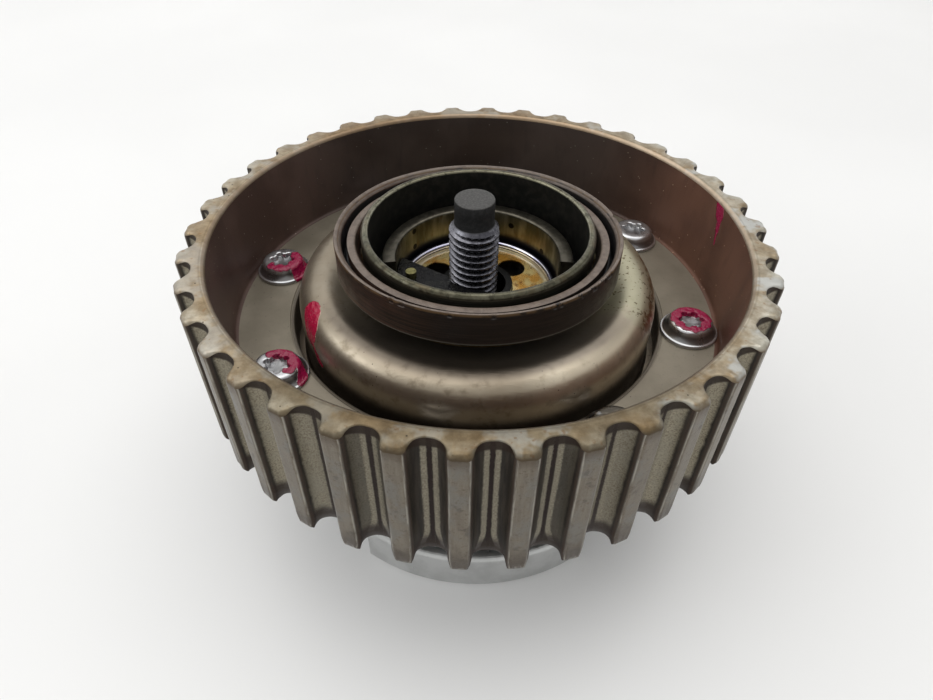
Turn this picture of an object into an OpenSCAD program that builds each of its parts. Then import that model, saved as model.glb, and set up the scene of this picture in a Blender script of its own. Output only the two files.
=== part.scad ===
// Timing belt pulley with a built-in camshaft phasing unit.
// Units are millimetres. Z is the camshaft axis. The front face of the unit lies in z = 0 and the
// camshaft side points up. An annular piston slides on straight splines in the drum housing, and the
// helical splines in its bore turn the camshaft hub as it slides.

/* [Belt teeth] */
// Number of belt teeth
teeth = 38; // [30:1:46]
// Belt pitch, measured along the belt's pitch line
belt_pitch = 9.525; // [9.3:0.005:9.8]
// Height of the belt's pitch line above the tooth lands
pitch_line = 0.686; // [0.4:0.001:1]
// Depth of the grooves between the teeth
groove_depth = 3; // [2.6:0.1:3.6]
// Width of a groove where its flanks meet the lands
groove_w = 5.3; // [4.7:0.1:5.6]
// Slope of the groove flanks, in degrees from the radius
flank_angle = 12; // [8:0.5:14]
// Radius that rounds the groove floor
floor_round = 2.3; // [1.2:0.1:2.3]
// Radius that rounds the corners of the tooth lands
land_round = 1.2; // [0.4:0.1:1.2]
// Turn of the teeth about the axis, in degrees
tooth_turn = 2.99; // [0:0.01:9]

/* [Pulley] */
// Height of the front ends of the teeth above the front face
rim_z = 33.9; // [33:0.1:35]
// Length of the toothed rim
rim_len = 30.6; // [29:0.1:34]
// Wall of the rim between the groove floors and the web
rim_wall = 3.9; // [3.2:0.1:4.2]
// How much the inside of the rim opens out towards the rear edge, on the radius
rim_taper = 1.5; // [0.8:0.1:1.8]
// Depth of the web below the rear edge of the rim
web_depth = 18.3; // [17:0.1:19]
// Thickness of the web
web_t = 6.5; // [5:0.1:7]
// Width of the web between the rim and its opening
web_w = 11.8; // [11.2:0.1:12.4]
// Bevel at the front ends of the teeth
front_bevel = 1.1; // [0.5:0.1:1.5]
// Bevel at the rear ends of the teeth
rear_bevel = 0.4; // [0.2:0.1:0.8]
// Bevel round the mouth of the rim
mouth_bevel = 0.8; // [0.4:0.1:1]

/* [Flange screws] */
// Number of screws that hold the pulley on the housing
flange_screws_n = 8; // [4:1:8]
// Direction of the first screw, in degrees
flange_screws_turn = 33.6; // [0:0.1:44]
// Thread diameter of the screws
flange_screw_d = 5; // [4:0.5:5]
// Length of the screws under the head
flange_screw_len = 13; // [12:0.5:14]
// Width left free on the web on both sides of a screw's flange
flange_screw_edge = 0.2; // [0.2:0.1:0.8]
// Diameter of the head at its flat top
flange_screw_head_d = 8.8; // [8:0.1:9]
// Height of the head
flange_screw_head_h = 3.1; // [3:0.1:4]
// Depth of the key recess in the head
flange_screw_key_depth = 2; // [1.5:0.1:2.5]

/* [Rear cover] */
// Gap between the domed rear cover and the opening in the web
dome_gap = 1.6; // [1:0.1:2]
// Height of the crest of the dome above the web
dome_h = 9.5; // [8.5:0.1:10]
// Radius of the shoulder of the dome
dome_round = 5.5; // [4:0.1:6]
// Width of the dome's shoulder, from its wall to the flat recess in its top
dome_shoulder = 4.5; // [4:0.1:5]
// Depth of the flat recess
dome_recess = 0.8; // [0.4:0.1:1.2]
// Wall of the dome
dome_wall = 3.2; // [2.5:0.1:3.4]
// Thickness of the cover's flange under the web
cover_flange_t = 3; // [2:0.1:4]

/* [Housing] */
// Step in the bore from the rear cover to the drum, on the radius
drum_step = 0.4; // [0.3:0.1:0.8]
// Wall of the drum
drum_wall = 6; // [5.6:0.1:6.5]
// Gap between the flange and the inside of the rim
flange_edge = 0.5; // [0.3:0.1:1.2]
// Thickness of that flange
flange_t = 7; // [6:0.1:8]
// Number of straight splines between the drum and the piston
drum_splines = 12; // [8:1:12]
// Width of a straight spline groove
drum_spline_w = 4.2; // [3:0.1:5]
// Depth of a straight spline groove in the wall of the drum
drum_spline_depth = 1.8; // [1:0.1:2]

/* [Front cover] */
// How far the front cover stands out past the drum
front_lip = 1.9; // [1:0.1:2.5]
// Thickness of the front cover
front_t = 10.2; // [9.5:0.1:11]
// Radius that rounds the rear edge of the front cover
front_round = 1.2; // [0.5:0.1:2]
// Number of tool scallops in the edge of the front cover
scallops = 4; // [2:1:6]
// Radius of a tool scallop
scallop_r = 8; // [6:0.5:9]
// Distance of a scallop's centre from the edge of the cover
scallop_out = 3.1; // [2.6:0.1:5]
// Direction of the first scallop, in degrees
scallop_turn = 47; // [40:1:50]
// Thread diameter of the cover screws, one of which stands between each two scallops
cover_screw_d = 4; // [3:0.5:4]
// Head diameter of the cover screws
cover_screw_head_d = 7; // [6:0.1:7]
// Thickness of the gasket under the front cover
gasket_t = 0.5; // [0.3:0.1:0.8]
// Diameter of the plug in the middle of the front cover
plug_d = 28; // [27:0.1:30]
// Thickness of the plug
plug_t = 5; // [4.5:0.1:5.3]
// How far the plug stands back from the front face
plug_back = 0.4; // [0.2:0.1:0.6]
// Width across flats of the key recess in the plug
plug_key = 10; // [8:1:12]

/* [Camshaft hub] */
// Outer diameter of the hub's neck, which the oil seal runs on
neck_d = 46; // [45.6:0.1:46.2]
// Wall of the neck round the camshaft's nose
neck_wall = 1.5; // [1.2:0.1:1.8]
// Height of the rim of the neck above the front face
neck_top = 64.9; // [64:0.1:66]
// Depth of the half-round ledge below the rim of the neck
ledge_depth = 6.8; // [6:0.1:8]
// Width of the ledge
ledge_w = 2.8; // [2:0.1:3.4]
// Width of the groove between the ledge and the wall of the neck
ledge_groove_w = 2.2; // [1.6:0.1:2.6]
// Direction in which the ledge starts, in degrees
ledge_from = -7; // [-20:1:0]
// Angle that the ledge covers, in degrees
ledge_sweep = 199; // [180:1:210]
// Depth of the ledge's groove and of the pocket in its open half, below the rim
pocket_depth = 12; // [10:0.1:13]
// How far the thrust flange stands out past the return spring
hub_flange_lip = 1; // [0.5:0.1:2]
// Thickness of the thrust flange
hub_flange_t = 4; // [3:0.1:4.4]
// Wall of the spigot that runs in the front bush
spigot_wall = 4; // [3.5:0.1:4.5]
// Diameter of the small cross holes in the wall of the oil chamber
cross_hole_d = 1.5; // [1:0.1:2]

/* [Helical splines] */
// Number of helical splines between the piston and the hub
helix_splines = 12; // [8:1:16]
// Step from the neck down to the root of the helical splines, on the radius
helix_step = 0.4; // [0.3:0.1:0.8]
// Height of a helical spline
helix_h = 2; // [1.5:0.1:2.4]
// Share of the spline pitch that a hub spline takes up at its root
helix_share = 0.5; // [0.4:0.01:0.55]
// Camshaft angle that the full stroke gives, in degrees
phase_range = 15; // [10:0.5:20]

/* [Piston and spring] */
// Stroke of the piston
stroke = 10; // [8:0.5:10]
// Length of the piston
piston_len = 14; // [13:0.5:14]
// Length of the splines on the outside of the piston
piston_spline_len = 8; // [6:0.5:8]
// Wire diameter of the return spring
spring_wire = 2; // [1.6:0.1:2]
// Room between the helical splines and the return spring
spring_room = 2.4; // [1.5:0.1:2.8]
// Number of turns of the return spring
spring_turns = 4; // [3:0.5:4]

/* [Centre bolt] */
// Thread diameter of the centre bolt
bolt_d = 10; // [9:0.5:10]
// Height of the bolt's tip above the front face
bolt_top = 70.5; // [68:0.5:72]
// Height of the bolt's seat in the hub above the front face
bolt_seat = 24; // [23:0.5:26]
// Diameter of the plain point of the bolt
bolt_point_d = 7.9; // [7:0.1:8.2]
// Length of the plain point of the bolt
bolt_point_len = 4.8; // [4:0.1:6]
// How far the loose bolt stands to one side in its hole
bolt_aside = 0.8; // [0:0.1:0.8]
// Diameter of the bolt's head
bolt_head_d = 17.2; // [16:0.1:18]
// Diameter of the bolt's washer
washer_d = 21.4; // [20:0.1:22]
// Thickness of the bolt's washer
washer_t = 1.8; // [1.5:0.1:2.5]
// Height of the bolt's head
bolt_head_h = 8; // [7:0.5:9]

/* [Oil seal] */
// Width of the groove between the seal's two rings
seal_groove_w = 1; // [0.8:0.1:1.4]
// Height of the rear edge of the oil seal above the front face
seal_top = 64; // [63.6:0.1:64.4]
// Width of the oil seal along the axis
seal_w = 7; // [6:0.1:7]
// Wall of the seal's outer ring
seal_wall = 1.4; // [1.1:0.1:1.6]
// Width of the outer ring's narrow rear edge, inside of which it slopes down to the groove
seal_edge = 0.4; // [0.3:0.1:0.8]
// Wall of the seal's inner ring
seal_lip_wall = 2.5; // [2:0.1:2.8]
// How far the inner ring lies below the outer one
seal_lip_step = 1.4; // [0.8:0.1:1.8]
// How far the loose seal sits askew on the neck, in degrees
seal_tilt = 2.4; // [0:0.1:2.8]

/* [Fits] */
// Radial clearance of running fits
run_gap = 0.03; // [0.02:0.005:0.05]
// Least clearance of the loose bolt in its hole
bolt_room = 0.25; // [0.2:0.01:0.3]
// Clearance between the flanks of the splines
spline_gap = 0.25; // [0.2:0.01:0.3]
// Clearance round screws and of loose pieces
loose_gap = 0.25; // [0.2:0.01:0.3]
// Gap between the seal's lip and the neck
lip_gap = 0.3; // [0.25:0.01:0.4]
// Axial clearance at the thrust faces
axial_gap = 0.05; // [0.03:0.01:0.1]

/* [Hidden] */
$fn = 96;
eps = 0.01;

// Belt teeth
tip_r = teeth * belt_pitch / PI / 2 - pitch_line;
tooth_angle = 360 / teeth;

// Pulley
rim_top = rim_z + rim_len;
rim_web_r = tip_r - groove_depth - rim_wall;
rim_mouth_r = rim_web_r + rim_taper;
web_top = rim_top - web_depth;
web_z = web_top - web_t;
web_open_r = rim_web_r - web_w;
web_edge = 0.5;

// Rear cover and housing, stacked under the web
cover_flange_z = web_z - cover_flange_t;
flange_z = cover_flange_z - flange_t;
flange_r = rim_web_r - flange_edge;
drum_z = front_t + gasket_t;
dome_r = web_open_r - dome_gap;
dome_inner_r = dome_r - dome_wall;
drum_bore_r = dome_inner_r - drum_step;
drum_r = drum_bore_r + drum_wall;
front_r = drum_r + front_lip;
scallop_at = front_r + scallop_out;
dome_top = web_top + dome_h;
dome_recess_z = dome_top - dome_recess;
dome_ceiling = dome_recess_z - dome_wall - 0.3;

// Piston chamber: z values at rest
piston_gap = 0.3;
piston_z = front_t + piston_gap;
piston_top = piston_z + piston_len;
chamber_spline_top = piston_z + piston_spline_len + stroke + 1.5;

// Hub
washer_thrust_t = 1;
hub_flange_top = dome_ceiling - washer_thrust_t - 2 * axial_gap;
hub_flange_z = hub_flange_top - hub_flange_t;
hub_shoulder_z = front_t + washer_thrust_t + 2 * axial_gap;
neck_r = neck_d / 2;
cam_bore_r = neck_r - neck_wall;
ledge_outer_r = cam_bore_r - ledge_groove_w;
ledge_r = ledge_outer_r - ledge_w;
ledge_z = neck_top - ledge_depth;
pocket_z = neck_top - pocket_depth;
chamber_floor_z = hub_flange_top - 2.6;
bolt_hole_d = bolt_d + 2 * bolt_aside + 2 * bolt_room;
head_bore_r = washer_d / 2 + bolt_aside + 2 * bolt_room;
spigot_r = head_bore_r + spigot_wall;
spigot_z = plug_t + 1;

// The helix: one full turn takes this length
helix_lead = stroke * 360 / phase_range;
helix_root_r = neck_r - helix_step;
helix_tip_r = helix_root_r + helix_h;

// The loose bolt lies on the plug, and its washer on the bolt's head
bolt_head_z = plug_t + axial_gap;
washer_z = bolt_head_z + bolt_head_h;
bolt_travel = bolt_seat - washer_z - washer_t - axial_gap;

// Oil plate and its retaining ring
oil_plate_t = 2;
boss_wall = 1.4;
oil_hole_d = 6;
oil_hole_at = 10;
oil_hole_turns = [43, 148];
oil_plate_top = chamber_floor_z + oil_plate_t;
ring_wire = 1.3;
boss_r = bolt_hole_d / 2 + boss_wall;
boss_top = oil_plate_top + ring_wire - 0.2;

// Direction and depth below the ledge of each small drilling in the wall of the oil chamber
cross_holes_at = [[146, 1.2], [146, 5], [64, 2.8], [33, 5.4]];

// Half-moon baffle over the oil plate, with its dowel
baffle_z = oil_plate_top + ring_wire + 0.02;
baffle_t = 2.8;
baffle_chord = 5.1;
baffle_turn = 238;
dowel_d = 2.2;
dowel_at = (ledge_r - 2.8) * [cos(191.4), sin(191.4)];

// Piston seal
piston_seal_w = 2.4;
piston_seal_depth = 2;

// Spring space
spring_r = helix_tip_r + spring_room + spring_wire / 2;
hub_flange_r = spring_r + spring_wire / 2 + hub_flange_lip;
spring_z0 = piston_top + axial_gap;
spring_z1 = hub_flange_z - axial_gap;

// Screws
flange_screw_r = rim_web_r - web_w / 2;
flange_screw_flange_r = web_w / 2 - flange_screw_edge;
flange_hole_d = flange_screw_d + 2 * loose_gap;
cover_screw_at = (drum_bore_r + drum_r) / 2;
cover_screw_len = 14;
cover_screw_sink = 4.4;
cover_screws_turn = scallop_turn - 180 / scallops;

// The cover screws stand between the straight spline grooves
drum_spline_turn = cover_screws_turn + 180 / drum_splines;

// Bush walls and lengths
bush_wall = 1.6;
front_bush_len = 4;

// O-ring of the plug
plug_groove = 1.5;
plug_ring_wire = 1.3;
plug_ring_z = plug_t * 0.66;

// O-ring under the rear cover
o_ring_wire = 1.6;
o_ring_depth = 1.4;
o_ring_r = drum_bore_r + 4.4;

// Seal
seal_mid = seal_top - seal_w / 2;
seal_z = seal_top - seal_w;
seal_lip_r = neck_r + lip_gap;
seal_r = seal_lip_r + seal_lip_wall + seal_groove_w + seal_wall;
seal_floor_t = 1.5;
garter_wire = 1.1;

sintered_steel = [0.50, 0.47, 0.41];
bronze_steel = [0.52, 0.49, 0.42];
dark_steel = [0.30, 0.30, 0.30];
bright_steel = [0.72, 0.72, 0.73];
aluminium = [0.75, 0.76, 0.77];
brown_rubber = [0.30, 0.20, 0.17];
black_rubber = [0.10, 0.10, 0.10];
bronze = [0.66, 0.50, 0.28];
golden = [0.72, 0.58, 0.28];
white_plastic = [0.85, 0.84, 0.80];
black_oxide = [0.16, 0.16, 0.17];

// Points along an arc round centre c, from angle a to angle b in n steps
function arc(c, r, a, b, n) = [
  for (i = [0 : n]) c + r * [cos(a + (b - a) * i / n), sin(a + (b - a) * i / n)]
];

// One belt groove: x runs along the rim and y along the radius, from the right land to the left one
function groove_half() =
  let (
    half = groove_w / 2,
    top = sqrt(tip_r * tip_r - half * half),
    bottom = tip_r - groove_depth,
    corner = (90 + flank_angle) / 2,
    floor_x = half - (top - bottom) * tan(flank_angle)
  )
  concat(
    arc([half + land_round / tan(corner), top - land_round], land_round, 90, 180 - flank_angle, 4),
    arc([floor_x - floor_round / tan(corner), bottom + floor_round], floor_round,
        -flank_angle, -90, 6)
  );

function turned(p, a) = [p.x * cos(a) - p.y * sin(a), p.x * sin(a) + p.y * cos(a)];

// The outline of the toothed rim: the same groove at every pitch
function tooth_outline() =
  let (right = groove_half(), n = len(right) - 1,
       groove = concat(right, [for (i = [n : -1 : 0]) [-right[i].x, right[i].y]]))
  [for (k = [0 : teeth - 1]) for (p = groove) turned(p, tooth_turn + k * tooth_angle)];

// A ring with a rectangular section between two radii and two heights
module ring(r_in, r_out, z0, z1) {
  translate([0, 0, z0])
    linear_extrude(z1 - z0)
      difference() {
        circle(r = r_out);
        circle(r = r_in);
      }
}

// A ring of round wire
module wire_ring(r, wire, z) {
  translate([0, 0, z])
    rotate_extrude()
      translate([r, 0])
        circle(d = wire, $fn = 32);
}

// Children repeated on a circle
module polar(n, r, turn) {
  for (i = [0 : n - 1])
    rotate([0, 0, turn + i * 360 / n])
      translate([r, 0, 0])
        children();
}

module toothed_pulley() {
  color(sintered_steel)
    difference() {
      intersection() {
        translate([0, 0, rim_z])
          linear_extrude(rim_len)
            polygon(tooth_outline());
        rotate_extrude($fn = 180)
          polygon([
            [web_open_r, web_z],
            [rim_web_r, web_z],
            [rim_web_r, rim_z],
            [tip_r - front_bevel, rim_z],
            [tip_r + 1, rim_z + front_bevel + 1],
            [tip_r + 1, rim_top - rear_bevel - 1],
            [tip_r - rear_bevel, rim_top],
            [rim_mouth_r + mouth_bevel, rim_top],
            [rim_mouth_r, rim_top - mouth_bevel],
            [rim_web_r, web_top],
            [web_open_r + web_edge, web_top],
            [web_open_r, web_top - web_edge]
          ]);
      }
      polar(flange_screws_n, flange_screw_r, flange_screws_turn)
        translate([0, 0, web_z - 1])
          cylinder(d = flange_hole_d, h = web_t + 2, $fn = 32);
    }
}

// Section of the dome: flange, wall, rounded shoulder and recessed top
module rear_cover() {
  bore_r = neck_r + run_gap + bush_wall;
  shoulder = [dome_r - dome_round, dome_top - dome_round];
  recess_r = dome_r - dome_shoulder;
  recess_angle = acos((recess_r - shoulder.x) / dome_round);
  color(bronze_steel)
    difference() {
      rotate_extrude($fn = 180)
        polygon(concat(
          [
            [dome_inner_r, cover_flange_z],
            [flange_r, cover_flange_z],
            [flange_r, web_z],
            [dome_r, web_z]
          ],
          arc(shoulder, dome_round, 0, recess_angle, 10),
          [
            [recess_r - 0.3, dome_recess_z],
            [bore_r, dome_recess_z],
            [bore_r, dome_ceiling],
            [dome_inner_r - 1, dome_ceiling],
            [dome_inner_r, dome_ceiling - 1]
          ]
        ));
      polar(flange_screws_n, flange_screw_r, flange_screws_turn)
        translate([0, 0, cover_flange_z - 1])
          cylinder(d = flange_hole_d, h = cover_flange_t + 2, $fn = 32);
    }
}

module drum_housing() {
  color(dark_steel)
    difference() {
      union() {
        translate([0, 0, drum_z])
          cylinder(r = drum_r, h = cover_flange_z - drum_z);
        translate([0, 0, flange_z])
          cylinder(r = flange_r, h = flange_t);
        translate([0, 0, flange_z - 3])
          cylinder(r1 = drum_r, r2 = drum_r + 3, h = 3);
      }
      translate([0, 0, drum_z - 1])
        cylinder(r = drum_bore_r, h = cover_flange_z - drum_z + 2);
      polar(drum_splines, drum_bore_r - 1, drum_spline_turn)
        translate([0, -drum_spline_w / 2, drum_z - 1])
          cube([drum_spline_depth + 1, drum_spline_w, chamber_spline_top - drum_z + 1]);
      ring(o_ring_r - o_ring_wire / 2, o_ring_r + o_ring_wire / 2,
           cover_flange_z - o_ring_depth, cover_flange_z + 1);
      polar(flange_screws_n, flange_screw_r, flange_screws_turn)
        translate([0, 0, flange_z - 1])
          cylinder(d = flange_screw_d + 2 * axial_gap, h = flange_t + 2, $fn = 32);
      polar(scallops, cover_screw_at, cover_screws_turn)
        translate([0, 0, drum_z - 1])
          cylinder(d = cover_screw_d + 2 * axial_gap, h = cover_screw_len, $fn = 32);
    }
}

module front_cover() {
  bush_r = spigot_r + run_gap + bush_wall;
  color(aluminium)
    difference() {
      rotate_extrude()
        polygon(concat(
          [
            [plug_d / 2, 0],
            [front_r - 0.4, 0],
            [front_r, 0.4]
          ],
          arc([front_r - front_round, front_t - front_round], front_round, 0, 90, 5),
          [
            [bush_r, front_t],
            [bush_r, plug_t + 0.6],
            [plug_d / 2, plug_t + 0.6]
          ]
        ));
      polar(scallops, scallop_at, scallop_turn)
        translate([0, 0, -1])
          cylinder(r = scallop_r, h = front_t + 2, $fn = 64);
      polar(scallops, cover_screw_at, cover_screws_turn) {
        translate([0, 0, -1])
          cylinder(d = cover_screw_d + 2 * loose_gap, h = front_t + 2, $fn = 32);
        translate([0, 0, -1])
          cylinder(d = cover_screw_head_d + 2 * loose_gap, h = cover_screw_sink + 1, $fn = 32);
      }
    }
}

module front_gasket() {
  color(black_rubber)
    difference() {
      ring(drum_bore_r + loose_gap, drum_r - loose_gap, front_t, drum_z);
      polar(scallops, cover_screw_at, cover_screws_turn)
        translate([0, 0, front_t - 1])
          cylinder(d = cover_screw_d + 2 * loose_gap, h = gasket_t + 2, $fn = 32);
    }
}

// Six-lobed key recess: a round core with six round lobes
module lobed_recess(d, depth) {
  lobe_d = d * 0.24;
  linear_extrude(depth) {
    circle(d = d * 0.74, $fn = 36);
    for (i = [0 : 5])
      rotate([0, 0, i * 60])
        translate([(d - lobe_d) / 2, 0])
          circle(d = lobe_d, $fn = 24);
  }
}

module flange_screw() {
  head_r = flange_screw_head_d / 2;
  edge_t = 0.7;
  dome = flange_screw_head_h * 0.65;
  difference() {
    union() {
      rotate_extrude($fn = 48)
        polygon(concat(
          [[0, 0], [flange_screw_flange_r - 0.2, 0], [flange_screw_flange_r, 0.2],
           [flange_screw_flange_r, edge_t]],
          arc([head_r - 0.6, flange_screw_head_h - dome], dome, 0, 70, 5),
          [[head_r - 0.9, flange_screw_head_h], [0, flange_screw_head_h]]
        ));
      translate([0, 0, -flange_screw_len])
        cylinder(d = flange_screw_d, h = flange_screw_len + eps, $fn = 32);
    }
    translate([0, 0, flange_screw_head_h - flange_screw_key_depth])
      lobed_recess(flange_screw_head_d * 0.58, flange_screw_head_h);
  }
}

module flange_screws() {
  color(bright_steel)
    polar(flange_screws_n, flange_screw_r, flange_screws_turn)
      translate([0, 0, web_top])
        rotate([0, 0, 12])
          flange_screw();
}

module cover_screw() {
  head_h = cover_screw_sink - 0.6;
  difference() {
    union() {
      translate([0, 0, cover_screw_sink - head_h])
        cylinder(d = cover_screw_head_d, h = head_h, $fn = 32);
      translate([0, 0, cover_screw_sink - eps])
        cylinder(d = cover_screw_d, h = cover_screw_len + eps, $fn = 32);
    }
    translate([0, 0, -1])
      cylinder(d = 3.5, h = cover_screw_sink - head_h + 3, $fn = 6);
  }
}

module cover_screws() {
  color(dark_steel)
    polar(scallops, cover_screw_at, cover_screws_turn)
      cover_screw();
}

module front_plug() {
  color(aluminium)
    difference() {
      translate([0, 0, plug_back])
        cylinder(r = plug_d / 2 - axial_gap, h = plug_t - plug_back);
      cylinder(d = plug_key / cos(30), h = plug_t * 0.7, $fn = 6);
      ring(plug_d / 2 - plug_groove, plug_d / 2 + 1, plug_ring_z - plug_ring_wire * 0.6,
           plug_ring_z + plug_ring_wire * 0.6);
    }
}

module plug_o_ring() {
  color(black_rubber)
    wire_ring(plug_d / 2 - plug_groove / 2 - axial_gap, plug_ring_wire, plug_ring_z);
}

module rear_cover_o_ring() {
  color(black_rubber)
    wire_ring(o_ring_r, o_ring_wire - 0.3, cover_flange_z - o_ring_depth / 2);
}

module rear_bush() {
  color(bronze)
    ring(neck_r + run_gap, neck_r + run_gap + bush_wall, dome_ceiling, dome_recess_z - 0.2);
}

module front_bush() {
  top = front_t - 0.3;
  color(bronze)
    ring(spigot_r + run_gap, spigot_r + run_gap + bush_wall, top - front_bush_len, top);
}

// Outline of the helical splines, grown by gap for the piston's bore
module helix_outline(gap) {
  root = helix_root_r + gap;
  tip = helix_tip_r + gap;
  half_root = 180 * helix_share / helix_splines + asin(gap / root);
  half_tip = half_root * 0.72;
  polygon([
    for (i = [0 : helix_splines - 1]) let (a = i * 360 / helix_splines)
      for (p = [[root, -half_root], [tip, -half_tip], [tip, half_tip], [root, half_root],
                [root, 180 / helix_splines]])
        p.x * [cos(a + p.y), sin(a + p.y)]
  ]);
}

// Splines that follow the helix, between two heights of the rest position
module helix_body(gap, z0, z1) {
  layers = ceil((z1 - z0) / 2.5);
  translate([0, 0, z0])
    rotate([0, 0, -360 * z0 / helix_lead])
      linear_extrude(z1 - z0, twist = 360 * (z1 - z0) / helix_lead, slices = layers)
        helix_outline(gap);
}

module camshaft_hub() {
  color(bright_steel)
    difference() {
      union() {
        translate([0, 0, spigot_z])
          cylinder(r = spigot_r, h = hub_shoulder_z - spigot_z + eps);
        helix_body(0, hub_shoulder_z, hub_flange_z + eps);
        translate([0, 0, hub_flange_z])
          cylinder(r = hub_flange_r, h = hub_flange_t);
        translate([0, 0, hub_flange_top - eps])
          cylinder(r = neck_r, h = neck_top - hub_flange_top - 0.4 + eps);
        translate([0, 0, neck_top - 0.4])
          cylinder(r1 = neck_r, r2 = neck_r - 0.4, h = 0.4);
      }
      translate([0, 0, spigot_z - 1])
        cylinder(r = head_bore_r, h = bolt_seat - spigot_z + 1);
      translate([0, 0, bolt_seat - 1])
        cylinder(d = bolt_hole_d, h = boss_top - bolt_seat + 2);
      ring(boss_r, ledge_r, chamber_floor_z, neck_top);
      translate([0, 0, boss_top])
        cylinder(r = ledge_r, h = neck_top);
      translate([0, 0, ledge_z])
        cylinder(r = cam_bore_r, h = neck_top);
      ring(ledge_outer_r, cam_bore_r, pocket_z, neck_top);
      rotate([0, 0, ledge_from + ledge_sweep])
        translate([0, 0, pocket_z])
          rotate_extrude(angle = 360 - ledge_sweep)
            translate([ledge_r - 1, 0])
              square([ledge_w + 2, ledge_z - pocket_z + 1]);
      cross_holes();
    }
}

// Small oil drillings in the wall of the chamber: direction and depth below the ledge
module cross_holes() {
  for (hole = cross_holes_at)
    rotate([0, 0, hole[0]])
      translate([ledge_r - 1, 0, ledge_z - hole[1]])
        rotate([0, 90, 0])
          cylinder(d = cross_hole_d, h = 4, $fn = 24);
}

module oil_plate() {
  color(golden)
    difference() {
      ring(boss_r + 0.1, ledge_r - 0.1, chamber_floor_z + 0.02, oil_plate_top);
      for (turn = oil_hole_turns)
        rotate([0, 0, turn])
          translate([oil_hole_at, 0, chamber_floor_z - 1])
            cylinder(d = oil_hole_d, h = oil_plate_t + 2, $fn = 48);
    }
}

module plate_retaining_ring() {
  color(bright_steel)
    rotate([0, 0, 285])
      translate([0, 0, oil_plate_top + ring_wire / 2])
        rotate_extrude(angle = 330)
          translate([ledge_r - ring_wire / 2 - 0.05, 0])
            circle(d = ring_wire, $fn = 24);
}

// Half-moon plate that covers part of the oil chamber, with a notch for the bolt
module baffle_plate() {
  color(black_oxide)
    difference() {
      translate([0, 0, baffle_z])
        cylinder(r = ledge_r - 0.15, h = baffle_t);
      rotate([0, 0, baffle_turn])
        translate([baffle_chord - 2 * ledge_r, -ledge_r, baffle_z - 1])
          cube([2 * ledge_r, 2 * ledge_r, baffle_t + 2]);
      translate([0, 0, baffle_z - 1])
        cylinder(d = bolt_hole_d + 4 * loose_gap, h = baffle_t + 2);
      translate([dowel_at.x, dowel_at.y, baffle_z - 1])
        cylinder(d = dowel_d, h = baffle_t + 2, $fn = 32);
    }
}

module locating_dowel() {
  color(golden)
    translate([dowel_at.x, dowel_at.y, baffle_z])
      cylinder(d = dowel_d - 0.02, h = baffle_t + 1.4, $fn = 32);
}

module rear_thrust_washer() {
  color(bronze)
    ring(neck_r + loose_gap, hub_flange_r - 0.5,
         hub_flange_top + axial_gap, dome_ceiling - axial_gap);
}

module front_thrust_washer() {
  color(bronze)
    ring(spigot_r + loose_gap, helix_root_r - 0.4, front_t + axial_gap,
         hub_shoulder_z - axial_gap);
}

module phase_piston() {
  body_r = drum_bore_r - run_gap;
  seal_z0 = piston_top - 2 - piston_seal_w;
  tooth_w = drum_spline_w - 2 * spline_gap;
  color(dark_steel)
    difference() {
      union() {
        translate([0, 0, piston_z])
          cylinder(r = body_r, h = piston_len);
        polar(drum_splines, body_r - 2, drum_spline_turn)
          translate([0, -tooth_w / 2, piston_z + gasket_t])
            cube([drum_spline_depth + 2 - spline_gap, tooth_w, piston_spline_len - gasket_t]);
      }
      helix_body(spline_gap, piston_z - 1, piston_top + 1);
      ring(drum_bore_r - piston_seal_depth, drum_bore_r + 1, seal_z0, seal_z0 + piston_seal_w);
    }
}

module piston_seal_ring() {
  seal_z0 = piston_top - 2 - piston_seal_w;
  color(white_plastic)
    ring(drum_bore_r - piston_seal_depth + 0.1, drum_bore_r - run_gap,
         seal_z0 + 0.1, seal_z0 + piston_seal_w - 0.1);
}

// The return spring: an eight-sided wire swept along a helix, flat-wound at both ends
module return_spring() {
  sides = 8;
  steps = spring_turns * 20;
  low = spring_z0 + spring_wire / 2;
  high = spring_z1 - spring_wire / 2;
  wire_r = spring_wire / 2;
  points = [
    for (i = [0 : steps]) let (
      a = 360 * spring_turns * i / steps,
      t = min(1, max(0, (i / steps - 0.08) / 0.84)),
      z = low + (high - low) * t
    )
      for (j = [0 : sides - 1]) let (b = 360 * j / sides, r = spring_r + wire_r * cos(b))
        [r * cos(a), r * sin(a), z + wire_r * sin(b)]
  ];
  walls = [
    for (i = [0 : steps - 1]) for (j = [0 : sides - 1])
      let (k = (j + 1) % sides)
        [i * sides + j, (i + 1) * sides + j, (i + 1) * sides + k, i * sides + k]
  ];
  ends = [
    [for (j = [0 : sides - 1]) j],
    [for (j = [sides - 1 : -1 : 0]) steps * sides + j]
  ];
  color(bright_steel)
    polyhedron(points, concat(walls, ends));
}

module centre_bolt() {
  bolt_r = bolt_d / 2;
  head_r = bolt_head_d / 2;
  point_z = bolt_top - bolt_point_len;
  color(black_oxide)
    translate([-bolt_aside, 0, 0])
      difference() {
        rotate_extrude($fn = 64)
          polygon([
            [0, bolt_head_z],
            [head_r - 0.6, bolt_head_z],
            [head_r, bolt_head_z + 0.6],
            [head_r, washer_z],
            [bolt_r, washer_z],
            [bolt_r, point_z - 0.9],
            [bolt_point_d / 2, point_z],
            [bolt_point_d / 2, bolt_top - 0.3],
            [bolt_point_d / 2 - 0.3, bolt_top],
            [0, bolt_top]
          ]);
        translate([0, 0, bolt_head_z - 1])
          lobed_recess(bolt_head_d * 0.64, 6);
      }
}

module bolt_washer() {
  color(dark_steel)
    translate([-bolt_aside, 0, 0])
      ring(bolt_d / 2 + 0.1, washer_d / 2, washer_z + 0.02, washer_z + washer_t);
}

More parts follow.
